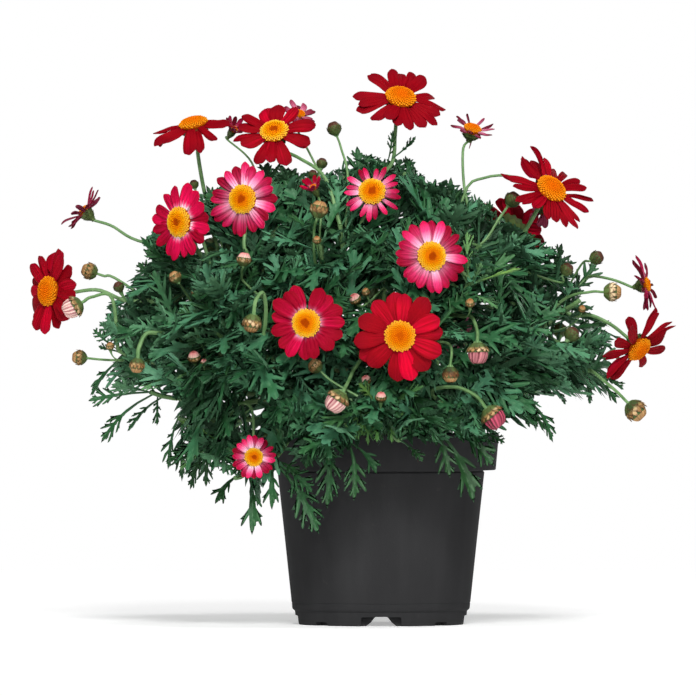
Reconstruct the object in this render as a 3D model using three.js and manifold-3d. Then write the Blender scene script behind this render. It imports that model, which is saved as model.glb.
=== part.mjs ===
// Potted marguerite daisy: a black nursery pot of compost, leafy stems with buds, and daisy heads.
// Millimetres, +Z up. The front is seen along +Y, with +X to the right.
import * as THREE from "three";
import { mergeVertices } from "three/addons/utils/BufferGeometryUtils.js";
import Module from "manifold-3d";

const wasm = await Module();
wasm.setup();

// Pot
const WALL = 1.2; // plastic thickness
const POT_HEIGHT = 113;
const RIM_RADIUS = 70; // collar, outside, at the top
const COLLAR_RADIUS = 68.1; // collar, outside, at its lower edge
const COLLAR_HEIGHT = 21.6;
const BODY_TOP_RADIUS = 61.3; // body, outside, just under the collar
const BODY_FOOT_RADIUS = 52.6;
const FOOT_RADIUS = 50.2;
const FOOT_TOP_RADIUS = 51.1;
const FOOT_HEIGHT = 9.2; // the body steps in below this height
const FOOT_STEP = 1.2; // height of the step
const FOOT_WALL = 1.6;
const COLLAR_FOOT = POT_HEIGHT - COLLAR_HEIGHT;
const EDGE = 0.8; // bevel of the rim and of the foot
const POT_SIDES = 24;
const CHANNEL = { height: 5.6, top: 8.6, middle: 12.2, middleHeight: 2.2, bottom: 17.8 }; // under the floor
const NOTCH = { width: 23.6, height: 5.4, depth: 12 }; // at the ends of the channels
const SMALL_NOTCH = { width: 10, height: 2.2, depth: 10 }; // between them
const DRAIN = { radius: 4, ring: 30, sides: 7, count: 4 }; // on a ring, and one more in the middle

// Soil
const SOIL_TOP = 101;
const SOIL_GAP = 0.5; // to the pot
const SOIL_SIDES = 16;
const SOIL_FALL = { width: 12, height: 3, crown: 0.6 }; // the top falls towards the pot's wall
const SOIL_FOOT = { inset: 2, height: 4 }; // its lower edge, inside the pot's step
const HOLE_DEPTH = 26; // of the hole that a stem stands in
const HOLE_SIDES = 4;
const HOLE_GAP = 1.6; // round the stem

// Stems
const GAP = 0.3; // between pieces that stand close
const CUP_TOP = -0.5; // of the green cup, from the underside of the petals
const CUP_HEIGHT = 4;
const CUP_RADIUS = 0.13; // of the head's diameter
const STEM_RADIUS = 2.7; // main stem at the soil
const SHOOT_RADIUS = 1.7; // side shoot at its start
const SHOOT_TAPER = 0.85; // of that at a tip
const STALK_RADIUS = 1.3; // flower stalk
const BUD_STALK_RADIUS = 1;
const STEM_LEAN = 40; // the higher, the steeper a stem leaves the soil
const TUBE_SIDES = 4;
const STEM_STEPS = 5;
const SHOOT_STEPS = 3;
const SHOOT_RISE = 0.45; // how far a shoot turns up at its tip
const SHOOT_OUT = 0.4; // handles of a shoot's curve, of its length
const SHOOT_BACK = 0.32;
const SIDE_SHOOT_START = 0.42; // share of the main shoot under the first side shoot
const SIDE_SHOOT_STEP = 0.09;
const STALK_START = 0.78; // share of a shoot under a stalk that doesn't end it
const STALK_RUN = 9; // length of the straight end of a stalk
const CROWN_CENTRE = new THREE.Vector3(-20, 0, 140); // leaves and shoots point away from about here

// Leaves
const GOLDEN_ANGLE = Math.PI * (3 - Math.sqrt(5));
const LEAF_LENGTH = 62;
const LEAF_HALF_WIDTH = 0.245; // of its length
const LEAF_THICKNESS = 1.3; // at the midrib
const LEAF_LIFT = 0.16; // rise of a lobe's end over the midrib, of its distance from it
const LEAF_OPEN = { young: 24, old: 78, spread: 14 }; // degrees from the shoot
const LEAF_SAG = { least: 0.1, most: 0.34 };
const LEAF_ARCH = 0.14; // rise of a lone leaf, of its length
const LEAF_GROWTH = { youngest: 0.5, places: 5, least: 0.86, most: 1.08 }; // shares of the full length
const LEAFY_SHARE = 0.62; // of a shoot, from its tip down
const LEAVES_ON_A_SHOOT = 18; // places for leaves
const LEAF_PLACES = [4, 8, 3, 6, 9, 2, 12, 5, 15, 7, 11, 14, 10, 13]; // the order that they are filled in
const MEAN_LEAVES = 2.2; // filled on a shoot

// The plant was measured on a photograph of its front, in pixels, with the eye level with pixel 348, 348.
const MM_PER_PIXEL = 0.593; // at the depth of the pot's axis
const EYE = { u: 348, v: 348, distance: 5500 };
const POT_PIXEL = { u: 381, v: 624 }; // foot of the pot's axis

// Stems: where they leave the soil (radius and angle, from above), then the tip of the main shoot and
// those of its side shoots, each as pixel u, v and depth y.
const STEMS = [
  { root: [23, 172], tip: [150, 300, -5], sides: [[118, 350, -35], [180, 250, 15]] },
  { root: [23, -125], tip: [205, 367, -80], sides: [[150, 392, -55], [172, 335, -72]] },
  { root: [23, -157], tip: [215, 440, -68], sides: [[178, 418, -45], [235, 478, -75]] },
  { root: [11, -165], tip: [215, 275, -45], sides: [[200, 320, -30], [245, 250, -72]] },
  { root: [11, 140], tip: [262, 205, 5], sides: [[210, 208, 25], [300, 195, -10]] },
  { root: [11, -115], tip: [285, 300, -92], sides: [[258, 350, -90], [320, 240, -72]] },
  { root: [11, 80], tip: [365, 185, -10], sides: [[340, 225, -62], [390, 180, 35]] },
  { root: [23, -90], tip: [379, 408, -112], sides: [[318, 432, -98], [430, 420, -100]] },
  { root: [12, -62], tip: [470, 283, -90], sides: [[435, 330, -98], [405, 260, -78]] },
  { root: [11, 12], tip: [470, 215, 0], sides: [[520, 240, -25], [445, 225, -52]] },
  { root: [23, -10], tip: [565, 310, -10], sides: [[585, 280, 30], [590, 370, -15]] },
  { root: [23, -54], tip: [520, 395, -72], sides: [[478, 430, -88], [530, 330, -62]] },
  { root: [23, 130], tip: [245, 285, 98],
    sides: [[165, 380, 58], [305, 360, 112], [230, 425, 78],
      [300, 215, 72], [175, 300, 62], [300, 435, 98]] },
  { root: [23, 48], tip: [440, 290, 102],
    sides: [[545, 380, 58], [385, 345, 110], [495, 425, 78],
      [465, 225, 66], [540, 290, 66], [415, 435, 98]] },
];

// Heads: middle of the face (pixel u, v, depth y), the way it faces in degrees (turn from the front
// towards +X, lift above level), diameter, petals in a layer, how far they rise and curl back, the shoot
// that bears it, and the route of its stalk in pixels.
const HEADS = [
  { at: [193, 122, 0], turn: -35, lift: 68, size: 58, petals: 7, cup: 0.02, curl: 0.5, color: "red",
    from: [4, 1], via: [[204, 190], [198, 155]] },
  { at: [274, 130, -20], turn: -11, lift: 43, size: 52, petals: 7, cup: 0.05, curl: 0.2, color: "red",
    from: [6, 1], via: [[325, 178], [299, 158]] },
  { at: [242, 199, -72], turn: -25, lift: 3, size: 45, petals: 7, cup: 0.06, curl: 0.12, color: "pink",
    from: [3, 2], via: [] },
  { at: [178, 222, -62], turn: -43, lift: 0, size: 47, petals: 7, cup: 0.06, curl: 0.12, color: "rose",
    from: [3, 0], via: [] },
  { at: [372, 191, -75], turn: -5, lift: 17, size: 36, petals: 7, cup: 0.04, curl: 0.25, color: "pink",
    slim: 0.72, from: [6, 1], via: [] },
  { at: [401, 96, -10], turn: 16, lift: 51, size: 58, petals: 7, cup: 0.04, curl: 0.2, color: "red",
    from: [6, 0], via: [[391, 165], [395, 135]] },
  { at: [473, 127, 15], turn: 29, lift: 59, size: 28, petals: 6, cup: 0.35, curl: 0.1, color: "faded",
    slim: 0.7, from: [9, 0], via: [[464, 185], [463, 150]] },
  { at: [552, 188, -38], turn: 36, lift: 38, size: 61, petals: 7, cup: 0.04, curl: 0.25, color: "red",
    from: [9, 1], via: [[535, 214]] },
  { at: [432, 256, -112], turn: 17, lift: 5, size: 45, petals: 7, cup: 0.06, curl: 0.12, color: "pink",
    from: [8, 0], via: [] },
  { at: [306, 323, -132], turn: -12, lift: 0, size: 47, petals: 7, cup: 0.06, curl: 0.12, color: "rose",
    from: [5, 0], via: [] },
  { at: [400, 336, -134], turn: 0, lift: 0, size: 55, petals: 7, cup: 0.06, curl: 0.12, color: "red",
    slim: 1.15, from: [8, 1], via: [] },
  { at: [254, 457, -100], turn: 8, lift: 5, size: 27, petals: 7, cup: 0.05, curl: 0.15, color: "pink",
    from: [2, 0], via: [[238, 405], [251, 408], [253.5, 430]] },
  { at: [47, 291, -15], turn: -52, lift: 4, size: 53, petals: 7, cup: 0.06, curl: 0.2, color: "red",
    from: [0, 0], via: [[126, 301], [98, 290]] },
  { at: [82, 209, 10], turn: -98, lift: 43, size: 35, petals: 6, cup: 0.3, curl: 0.3, color: "dark",
    from: [0, 2], via: [[140, 238], [110, 223]] },
  { at: [640, 350, -20], turn: 50, lift: -37, size: 60, petals: 7, cup: 0.1, curl: 0.2, color: "red",
    from: [10, 0], via: [[574, 316], [590, 315], [610, 324]] },
  { at: [649, 284, 15], turn: 99, lift: 5, size: 37, petals: 6, cup: 0.1, curl: 0.4, color: "dark",
    slim: 0.8, from: [10, 1], via: [[597, 278], [617, 280]] },
  { at: [548, 212, 20], turn: 150, lift: -50, size: 27, petals: 7, cup: 0.3, curl: 0.1, color: "dark",
    from: [9, 0], via: [[465, 192], [484, 178], [510, 176], [535, 186]] },
  { at: [235, 127, 34], turn: 40, lift: 45, size: 15, petals: 6, cup: 1.2, curl: 0.3, color: "dark",
    closed: true, from: [4, 0], via: [[252, 163]] },
  { at: [300, 112, 18], turn: 20, lift: 50, size: 22, petals: 6, cup: 0.4, curl: 0.3, color: "faded",
    closed: true, from: [4, 2], via: [[318, 175], [313, 160]] },
  { at: [312, 185, -66], turn: -40, lift: 50, size: 14, petals: 6, cup: 1.2, curl: 0.2, color: "rose",
    closed: true, from: [5, 2], via: [] },
  { at: [275, 262, 138], turn: 195, lift: 12, size: 48, petals: 7, cup: 0.06, curl: 0.2, color: "red",
    from: [12, 0], via: [] },
  { at: [445, 320, 145], turn: 165, lift: 5, size: 46, petals: 7, cup: 0.06, curl: 0.15, color: "pink",
    from: [13, 0], via: [] },
  { at: [515, 225, 105], turn: 140, lift: 35, size: 52, petals: 7, cup: 0.05, curl: 0.25, color: "red",
    from: [13, 4], via: [] },
  { at: [165, 330, 105], turn: 215, lift: 15, size: 42, petals: 7, cup: 0.06, curl: 0.3, color: "rose",
    closed: true, from: [12, 1], via: [] },
];

// Buds: middle (pixel u, v, depth y), diameter, the shoot that bears it, and the route of its stalk.
const BUDS = [
  { at: [334, 128, -5], size: 8.5, from: [6, 1], via: [[348, 180], [341, 148]] },
  { at: [319, 209, -92], size: 10.5, from: [5, 2], via: [[315, 262], [314, 232]] },
  { at: [244, 259, -95], size: 8.5, from: [5, 0], via: [[248, 286], [242, 274]] },
  { at: [252, 324, -112], size: 11, from: [5, 1], via: [[262, 345], [266, 312], [263, 293], [256, 300]] },
  { at: [89, 271, -5], size: 10, from: [0, 0], via: [[125, 279], [105, 275]] },
  { at: [72, 308, -52], size: 13, from: [0, 1], via: [[112, 298], [92, 297]] },
  { at: [79, 357.5, -40], size: 9, from: [0, 1], via: [[108, 360]] },
  { at: [137, 366, -85], size: 9, from: [1, 2], via: [[158, 333], [146, 334], [139, 348]] },
  { at: [194, 357, -98], size: 7.5, from: [1, 0], via: [] },
  { at: [175, 277, -75], size: 7.5, from: [3, 1], via: [[190, 300], [181, 286]] },
  { at: [336, 402, -138], size: 14, from: [5, 0], via: [[358, 352], [352, 373], [344, 390]] },
  { at: [315, 366, -112], size: 8.5, from: [7, 0], via: [[350, 392], [330, 380]] },
  { at: [450.5, 375, -125], size: 9.5, from: [8, 1], via: [[450, 345]] },
  { at: [478, 354, -122], size: 13, from: [8, 0], via: [[470, 316], [477, 330]] },
  { at: [494, 418, -118], size: 14.5, from: [11, 1], via: [[432, 394], [455, 387], [476, 396]] },
  { at: [513, 199, -30], size: 9.5, from: [9, 2], via: [[478, 245], [500, 217]] },
  { at: [597, 257.5, 5], size: 8.5, from: [10, 1], via: [[581, 265]] },
  { at: [613, 292, -15], size: 11, from: [10, 0], via: [[563, 300], [590, 292]] },
  { at: [567, 269, -30], size: 8, from: [9, 1], via: [[558, 282]] },
  { at: [636, 411, -35], size: 13, from: [10, 2], via: [[597, 375], [616, 391]] },
  { at: [572, 334, -50], size: 9, from: [11, 2], via: [] },
  { at: [381, 397, -128], size: 6.5, from: [7, 0], via: [] },
  { at: [210, 245, 92], size: 9, from: [12, 4], via: [] },
  { at: [375, 300, 138], size: 10, from: [12, 2], via: [] },
  { at: [560, 330, 105], size: 9, from: [13, 1], via: [] },
];

// Outline of the foliage from the front, in pixels.
const CROWN_OUTLINE = [
  [100, 392], [104, 376], [114, 358], [92, 334], [104, 306], [126, 281], [140, 270], [140, 238],
  [152, 228], [190, 195], [215, 185], [268, 163], [290, 166], [330, 172], [356, 147], [376, 156],
  [416, 142], [420, 172], [452, 180], [490, 200], [502, 215], [544, 238], [580, 256], [582, 296],
  [612, 322], [624, 345], [620, 402], [566, 404], [526, 390], [514, 400], [548, 438], [506, 424],
  [500, 446], [470, 454], [430, 447], [395, 446], [350, 454], [330, 474], [296, 464], [276, 478],
  [262, 512], [244, 512], [232, 480], [216, 470], [198, 488], [182, 480], [168, 458], [174, 404],
  [156, 390], [128, 398],
];

// Leaves that hang or stand alone outside that: the stem and shoot that bears each, how far along the
// shoot, and its tip as pixel u, v and depth y.
const LONE_LEAVES = [
  { from: [2, 2], share: 0.97, tip: [319, 533, -88] }, { from: [2, 2], share: 0.96, tip: [252, 534, -82] },
  { from: [2, 2], share: 0.9, tip: [216, 504, -76] }, { from: [2, 0], share: 0.98, tip: [190, 490, -64] },
  { from: [2, 0], share: 0.9, tip: [165, 462, -60] }, { from: [1, 1], share: 0.97, tip: [99, 443, -52] },
  { from: [0, 1], share: 0.97, tip: [91, 398, -30] }, { from: [7, 1], share: 0.97, tip: [331, 508, -104] },
  { from: [7, 1], share: 0.9, tip: [353, 500, -106] }, { from: [7, 2], share: 0.85, tip: [422, 463, -106] },
  { from: [7, 2], share: 0.97, tip: [475, 503, -102] }, { from: [11, 1], share: 0.97, tip: [497, 457, -92] },
  { from: [11, 0], share: 0.97, tip: [551, 437, -74] }, { from: [10, 2], share: 0.97, tip: [623, 384, -20] },
];

const V = (x, y, z) => new THREE.Vector3(x, y, z);
const radians = (degrees) => (degrees * Math.PI) / 180;
const mix = (a, b, t) => a + (b - a) * t;

// A repeatable random value from 0 to 1.
function noise(seed, k) {
  const s = Math.sin(seed * 12.9898 + k * 78.233) * 43758.5453;
  return s - Math.floor(s);
}

// The point at depth y that the photograph shows at pixel u, v.
function fromPhoto([u, v, y]) {
  const spread = (EYE.distance + y) / EYE.distance;
  const x = (EYE.u - POT_PIXEL.u + (u - EYE.u) * spread) * MM_PER_PIXEL;
  return V(x, y, (POT_PIXEL.v - EYE.v + (EYE.v - v) * spread) * MM_PER_PIXEL);
}

// The pixel that shows a point.
function toPhoto(p) {
  const spread = (EYE.distance + p.y) / EYE.distance;
  const u = EYE.u + (p.x / MM_PER_PIXEL + POT_PIXEL.u - EYE.u) / spread;
  return [u, EYE.v - (p.z / MM_PER_PIXEL - POT_PIXEL.v + EYE.v) / spread];
}

function geometryOf(points, triangles) {
  const g = new THREE.BufferGeometry();
  g.setAttribute("position", new THREE.BufferAttribute(new Float32Array(points.flat()), 3));
  g.setIndex(triangles.flat());
  return g;
}

function solid(geometry) {
  const g = geometry.index ? geometry.toNonIndexed() : geometry.clone();
  g.deleteAttribute("normal");
  g.deleteAttribute("uv");
  const merged = mergeVertices(g, 1e-3);
  const index = merged.index.array;
  const kept = [];
  for (let i = 0; i < index.length; i += 3) {
    const [a, b, c] = [index[i], index[i + 1], index[i + 2]];
    if (a !== b && b !== c && c !== a) kept.push(a, b, c);
  }
  const vertProperties = merged.attributes.position.array;
  return new wasm.Manifold(new wasm.Mesh({ numProp: 3, vertProperties, triVerts: new Uint32Array(kept) }));
}

function meshOf(made, name, material) {
  const { numProp, vertProperties, triVerts } = made.getMesh();
  const points = new Float32Array((vertProperties.length / numProp) * 3);
  for (let i = 0; i * 3 < points.length; i += 1) {
    points.set(vertProperties.subarray(i * numProp, i * numProp + 3), i * 3);
  }
  const g = new THREE.BufferGeometry().setAttribute("position", new THREE.BufferAttribute(points, 3));
  g.setIndex(new THREE.BufferAttribute(new Uint32Array(triVerts), 1));
  g.computeVertexNormals();
  const mesh = new THREE.Mesh(g, material);
  mesh.name = name;
  return mesh;
}

const paint = (color, roughness) => new THREE.MeshStandardMaterial({ color, roughness, metalness: 0 });
const POT_PAINT = paint(0x2b2b2c, 0.5);
const SOIL_PAINT = paint(0x33261c, 0.95);
const LEAF_PAINT = paint(0x2f5f4a, 0.6);
const DISC_PAINT = paint(0xf0a80c, 0.7);
const PETAL_PAINTS = {
  red: paint(0xb8081e, 0.5),
  rose: paint(0xc4103c, 0.5),
  pink: paint(0xe0487c, 0.5),
  faded: paint(0x9c2848, 0.6),
  dark: paint(0x861028, 0.55),
};

// A solid turned from a profile of radius and height pairs, which starts and ends on the axis.
function turned(profile, sides) {
  const points = profile.map(([r, z]) => new THREE.Vector2(r, z));
  return solid(new THREE.LatheGeometry(points, sides).rotateX(Math.PI / 2));
}

// A closed tube through points, with a radius at each.
function tube(points, radii) {
  const sides = TUBE_SIDES;
  const rings = [];
  const tangent = V(0, 0, 0);
  const across = V(1, 0.13, 0.21);
  points.forEach((p, i) => {
    const next = points[Math.min(i + 1, points.length - 1)];
    tangent.subVectors(next, points[Math.max(i - 1, 0)]).normalize();
    across.addScaledVector(tangent, -across.dot(tangent)).normalize();
    const beside = V(0, 0, 0).crossVectors(tangent, across);
    for (let j = 0; j < sides; j += 1) {
      const a = (2 * Math.PI * j) / sides;
      const q = p.clone().addScaledVector(across, radii[i] * Math.cos(a));
      rings.push(q.addScaledVector(beside, radii[i] * Math.sin(a)).toArray());
    }
  });
  const triangles = [];
  const last = (points.length - 1) * sides;
  for (let i = 0; i < last; i += sides) {
    for (let j = 0; j < sides; j += 1) {
      const k = (j + 1) % sides;
      triangles.push([i + j, i + k, i + sides + j], [i + k, i + sides + k, i + sides + j]);
    }
  }
  for (let j = 1; j < sides - 1; j += 1) triangles.push([0, j + 1, j], [last, last + j, last + j + 1]);
  return solid(geometryOf(rings, triangles));
}

// Pot

function extruded(outline, length) {
  const shape = new THREE.Shape(outline.map(([x, y]) => new THREE.Vector2(x, y)));
  const g = new THREE.ExtrudeGeometry(shape, { depth: length, bevelEnabled: false });
  return solid(g.translate(0, 0, -length / 2).rotateX(Math.PI / 2));
}

// The space under the floor: two channels that cross, a wider notch at each of their ends, and a small
// notch between each two.
function underFloor(grow) {
  const below = -3;
  const [top, middle, bottom] = [CHANNEL.top, CHANNEL.middle, CHANNEL.bottom].map((w) => w / 2 + grow);
  const [high, waist] = [CHANNEL.height + grow, CHANNEL.middleHeight + grow];
  const section = [
    [-bottom, below], [bottom, below], [bottom, 0], [middle, waist],
    [top, high], [-top, high], [-middle, waist], [-bottom, 0],
  ];
  let space = extruded(section, 2 * (FOOT_RADIUS + NOTCH.depth));
  space = space.add(space.rotate([0, 0, 90]));
  const box = (size) => {
    const height = size.height + grow - below;
    const g = new THREE.BoxGeometry(size.width + 2 * grow, size.depth + 2 * grow, height);
    return solid(g.translate(0, -FOOT_RADIUS, below + height / 2));
  };
  for (let i = 0; i < 4; i += 1) {
    space = space.add(box(NOTCH).rotate([0, 0, 90 * i]));
    space = space.add(box(SMALL_NOTCH).rotate([0, 0, 45 + 90 * i]));
  }
  return space;
}

function pot() {
  const outside = turned([
    [0, 0], [FOOT_RADIUS - EDGE, 0], [FOOT_RADIUS, EDGE], [FOOT_TOP_RADIUS, FOOT_HEIGHT - FOOT_STEP],
    [BODY_FOOT_RADIUS, FOOT_HEIGHT], [BODY_TOP_RADIUS, COLLAR_FOOT], [COLLAR_RADIUS, COLLAR_FOOT],
    [RIM_RADIUS, POT_HEIGHT - EDGE], [RIM_RADIUS - EDGE, POT_HEIGHT], [0, POT_HEIGHT],
  ], POT_SIDES);
  const inside = turned([
    [0, WALL], [FOOT_RADIUS - FOOT_WALL, WALL], [FOOT_TOP_RADIUS - WALL, FOOT_HEIGHT],
    [BODY_FOOT_RADIUS - WALL, FOOT_HEIGHT + FOOT_STEP], [BODY_TOP_RADIUS - WALL, COLLAR_FOOT + WALL],
    [COLLAR_RADIUS - WALL, COLLAR_FOOT + WALL], [RIM_RADIUS - EDGE - WALL, POT_HEIGHT + WALL],
    [0, POT_HEIGHT + WALL],
  ], POT_SIDES);
  let made = outside.subtract(underFloor(0)).subtract(inside.subtract(underFloor(WALL)));
  const drain = new THREE.CylinderGeometry(DRAIN.radius, DRAIN.radius, 4 * WALL, DRAIN.sides);
  const hole = solid(drain.rotateX(Math.PI / 2).translate(0, 0, CHANNEL.height + WALL / 2));
  made = made.subtract(hole);
  for (let i = 0; i < DRAIN.count; i += 1) {
    made = made.subtract(hole.translate([DRAIN.ring, 0, 0]).rotate([0, 0, (360 * i) / DRAIN.count]));
  }
  return made;
}

// Soil

function rootOf(stem) {
  const [radius, angle] = [stem.root[0], radians(stem.root[1])];
  return V(radius * Math.cos(angle), radius * Math.sin(angle), SOIL_TOP - HOLE_DEPTH + GAP);
}

// The soil's corners stay inside the flats of the pot's walls.
function soil() {
  const within = (r) => (r - WALL) * Math.cos(Math.PI / POT_SIDES) - SOIL_GAP;
  const floor = CHANNEL.height + WALL + SOIL_GAP;
  const shelf = COLLAR_FOOT + WALL + SOIL_GAP;
  let made = turned([
    [0, floor], [within(BODY_FOOT_RADIUS) - SOIL_FOOT.inset, floor],
    [within(BODY_FOOT_RADIUS), FOOT_HEIGHT + SOIL_FOOT.height], [within(BODY_TOP_RADIUS), shelf],
    [within(COLLAR_RADIUS), shelf], [within(COLLAR_RADIUS), SOIL_TOP - SOIL_FALL.height],
    [within(COLLAR_RADIUS) - SOIL_FALL.width, SOIL_TOP - SOIL_FALL.crown], [0, SOIL_TOP],
  ], SOIL_SIDES);
  const radius = STEM_RADIUS + HOLE_GAP;
  const depth = 1.5 * HOLE_DEPTH;
  for (const stem of STEMS) {
    const { x, y, z } = rootOf(stem);
    const g = new THREE.CylinderGeometry(radius, radius, depth, HOLE_SIDES).rotateX(Math.PI / 2);
    made = made.subtract(solid(g.translate(x, y, z - GAP + depth / 2)));
  }
  return made;
}

// Stems and stalks

// The way a shoot points at its tip: away from the plant's middle, and up.
function shootAim(tip) {
  return tip.clone().sub(CROWN_CENTRE).normalize().add(V(0, 0, SHOOT_RISE)).normalize();
}

function shootFrom(start, out, tip) {
  const length = start.distanceTo(tip);
  const ahead = start.clone().addScaledVector(out, SHOOT_OUT * length);
  const back = tip.clone().addScaledVector(shootAim(tip), -SHOOT_BACK * length);
  return new THREE.CubicBezierCurve3(start, ahead, back, tip);
}

// The curves of a stem's shoots: the main one from the soil, and its side shoots from part way up it.
function shootsOf(stem) {
  const start = rootOf(stem).setZ(SOIL_TOP + GAP);
  const lean = V(start.x, start.y, STEM_LEAN).normalize();
  const main = shootFrom(start, lean, fromPhoto(stem.tip));
  const sides = stem.sides.map((side, i) => {
    const from = main.getPoint(SIDE_SHOOT_START + SIDE_SHOOT_STEP * i);
    const end = fromPhoto(side);
    const away = end.clone().sub(from).normalize();
    return shootFrom(from, away.add(V(0, 0, 0.3)).normalize(), end);
  });
  return [main, ...sides].map((curve, i) => {
    return { curve, points: curve.getPoints(i ? SHOOT_STEPS : STEM_STEPS) };
  });
}

const SHOOTS = STEMS.map(shootsOf);

// A point at a share of the way up a shoot's tube.
function pointOn(shoot, t) {
  const steps = shoot.points.length - 1;
  const i = Math.min(Math.floor(t * steps), steps - 1);
  return shoot.points[i].clone().lerp(shoot.points[i + 1], t * steps - i);
}

function facing(item) {
  const [turn, lift] = [radians(item.turn), radians(item.lift)];
  return V(Math.sin(turn) * Math.cos(lift), -Math.cos(turn) * Math.cos(lift), Math.sin(lift));
}

// The points of a stalk from its shoot to where it ends. A terminal stalk goes on from the shoot's tip.
function stalkPoints(item, end, aim, terminal) {
  const [stem, which] = item.from;
  const shoot = SHOOTS[stem][which];
  const start = terminal ? shoot.points[shoot.points.length - 1].clone() : pointOn(shoot, STALK_START);
  const distance = start.distanceTo(end);
  if (!item.via.length) {
    const away = end.clone().sub(start).normalize();
    const out = terminal ? shoot.curve.getTangent(1).lerp(away, 0.3).normalize() : away;
    const ahead = start.clone().addScaledVector(out, distance * 0.35);
    const back = end.clone().addScaledVector(aim, -distance * 0.38);
    return new THREE.CubicBezierCurve3(start, ahead, back, end).getPoints(3);
  }
  const passed = item.via.map(([u, v], i) =>
    fromPhoto([u, v, mix(start.y, end.y, (i + 1) / (item.via.length + 1))]));
  const near = passed[passed.length - 1].distanceTo(end);
  const last = end.clone().addScaledVector(aim, -Math.min(STALK_RUN, near * 0.4));
  const route = [start, ...passed, last, end];
  return new THREE.CatmullRomCurve3(route, false, "catmullrom").getPoints(passed.length + 3);
}

// A frame at a point with its Z along an aim, turned about that.
function frameAt(point, aim, spin) {
  const right = V(0, 0, 1).cross(aim);
  if (right.length() < 1e-3) right.set(1, 0, 0);
  right.normalize();
  const up = aim.clone().cross(right);
  const m = new THREE.Matrix4().makeBasis(right, up, aim).setPosition(point);
  return m.multiply(new THREE.Matrix4().makeRotationZ(spin));
}

const HEAD_BACK = 3.6; // from a head's face back to the top of its cup
const headBase = (head) => fromPhoto(head.at).addScaledVector(facing(head), -HEAD_BACK);

// The end of a head's stalk: it widens into the green cup of scales under the head.
function headEnd(head) {
  const aim = facing(head);
  const base = headBase(head);
  const rings = [[CUP_TOP - CUP_HEIGHT, STALK_RADIUS * 1.15], [CUP_TOP, head.size * CUP_RADIUS]];
  return {
    aim,
    points: rings.map(([z]) => base.clone().addScaledVector(aim, z)),
    radii: rings.map(([, radius]) => radius),
  };
}

// Height and radius of a bud's rings, of its size.
const BUD_RINGS = [[-0.5, 0.14], [-0.22, 0.44], [0.2, 0.46], [0.5, 0.14]];
const BUD_RISE = 25; // a bud with no route points up from this far under it

// The end of a bud's stalk: the bud itself.
function budEnd(item) {
  const middle = fromPhoto(item.at);
  const [stem, which] = item.from;
  const before = item.via.length
    ? fromPhoto([...item.via[item.via.length - 1], item.at[2]])
    : pointOn(SHOOTS[stem][which], 1).lerp(middle.clone().setZ(middle.z - BUD_RISE), 0.6);
  const aim = middle.clone().sub(before).normalize();
  return {
    aim,
    points: BUD_RINGS.map(([z]) => middle.clone().addScaledVector(aim, z * item.size)),
    radii: BUD_RINGS.map(([, radius]) => radius * item.size),
  };
}

// What stands on a shoot, with the way it ends.
function carried(stem, which) {
  const here = (item) => item.from[0] === stem && item.from[1] === which;
  const heads = HEADS.filter(here).map((item) => ({ item, radius: STALK_RADIUS, end: headEnd(item) }));
  const buds = BUDS.filter(here).map((item) => ({ item, radius: BUD_STALK_RADIUS, end: budEnd(item) }));
  return [...heads, ...buds];
}

// A shoot's tube, which goes on into the first stalk that it carries, and the tubes of its other stalks.
function shootTubes(stem, which) {
  const shoot = SHOOTS[stem][which];
  const thick = which ? SHOOT_RADIUS : STEM_RADIUS;
  const points = which ? [...shoot.points] : [rootOf(STEMS[stem]), ...shoot.points];
  const radii = points.map((_, i) => mix(thick, SHOOT_RADIUS * SHOOT_TAPER, i / (points.length - 1)));
  const tubes = [];
  carried(stem, which).forEach(({ item, radius, end }, order) => {
    const route = stalkPoints(item, end.points[0], end.aim, order === 0).slice(order === 0 ? 1 : 0, -1);
    const routeRadii = [...route.map(() => radius), ...end.radii];
    if (order > 0) {
      tubes.push(tube([...route, ...end.points], routeRadii));
    } else {
      points.push(...route, ...end.points);
      radii.push(...routeRadii);
    }
  });
  return [tube(points, radii), ...tubes];
}

// Heads

const LOWER = 0.9; // height of a head's lower layer of petals over the cup
const LAYERS = 1.5; // from there to the upper layer
const HUB_LIFT = 0.6; // of the middle of the upper layer
const PETAL_THICKNESS = 0.85; // at the ridge, which is at this share of the head's radius
const RIDGE_SHARE = 0.58;
const ROOT_SHARE = 0.28; // petals rise and curl outside this
const VALLEY_SHARE = 0.3; // neighbours part here
const SHOULDER_SHARE = 0.88; // and here a petal is widest, to this angle on each side
const SHOULDER_ANGLE = radians(12.8);
const HUB_SHARE = 0.15;
const DISC_SHARE = 0.27; // radius of the disc
const DISC_SIDES = 8;
const DISC_RINGS = [[0.84, 0], [1, 0.32], [0.62, 0.86]]; // shares of its radius and height
const DISC_CROWN = 0.9; // share of its height in the middle
const FOLDED_DISC = 2; // its height in a folded head

// How far a petal's middle surface stands above its root, at a share of the head's radius.
function petalRise(head, share) {
  const out = Math.max(share - ROOT_SHARE, 0) * (head.size / 2);
  return head.cup * out - (head.curl * out * out) / (head.size / 2);
}

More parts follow.
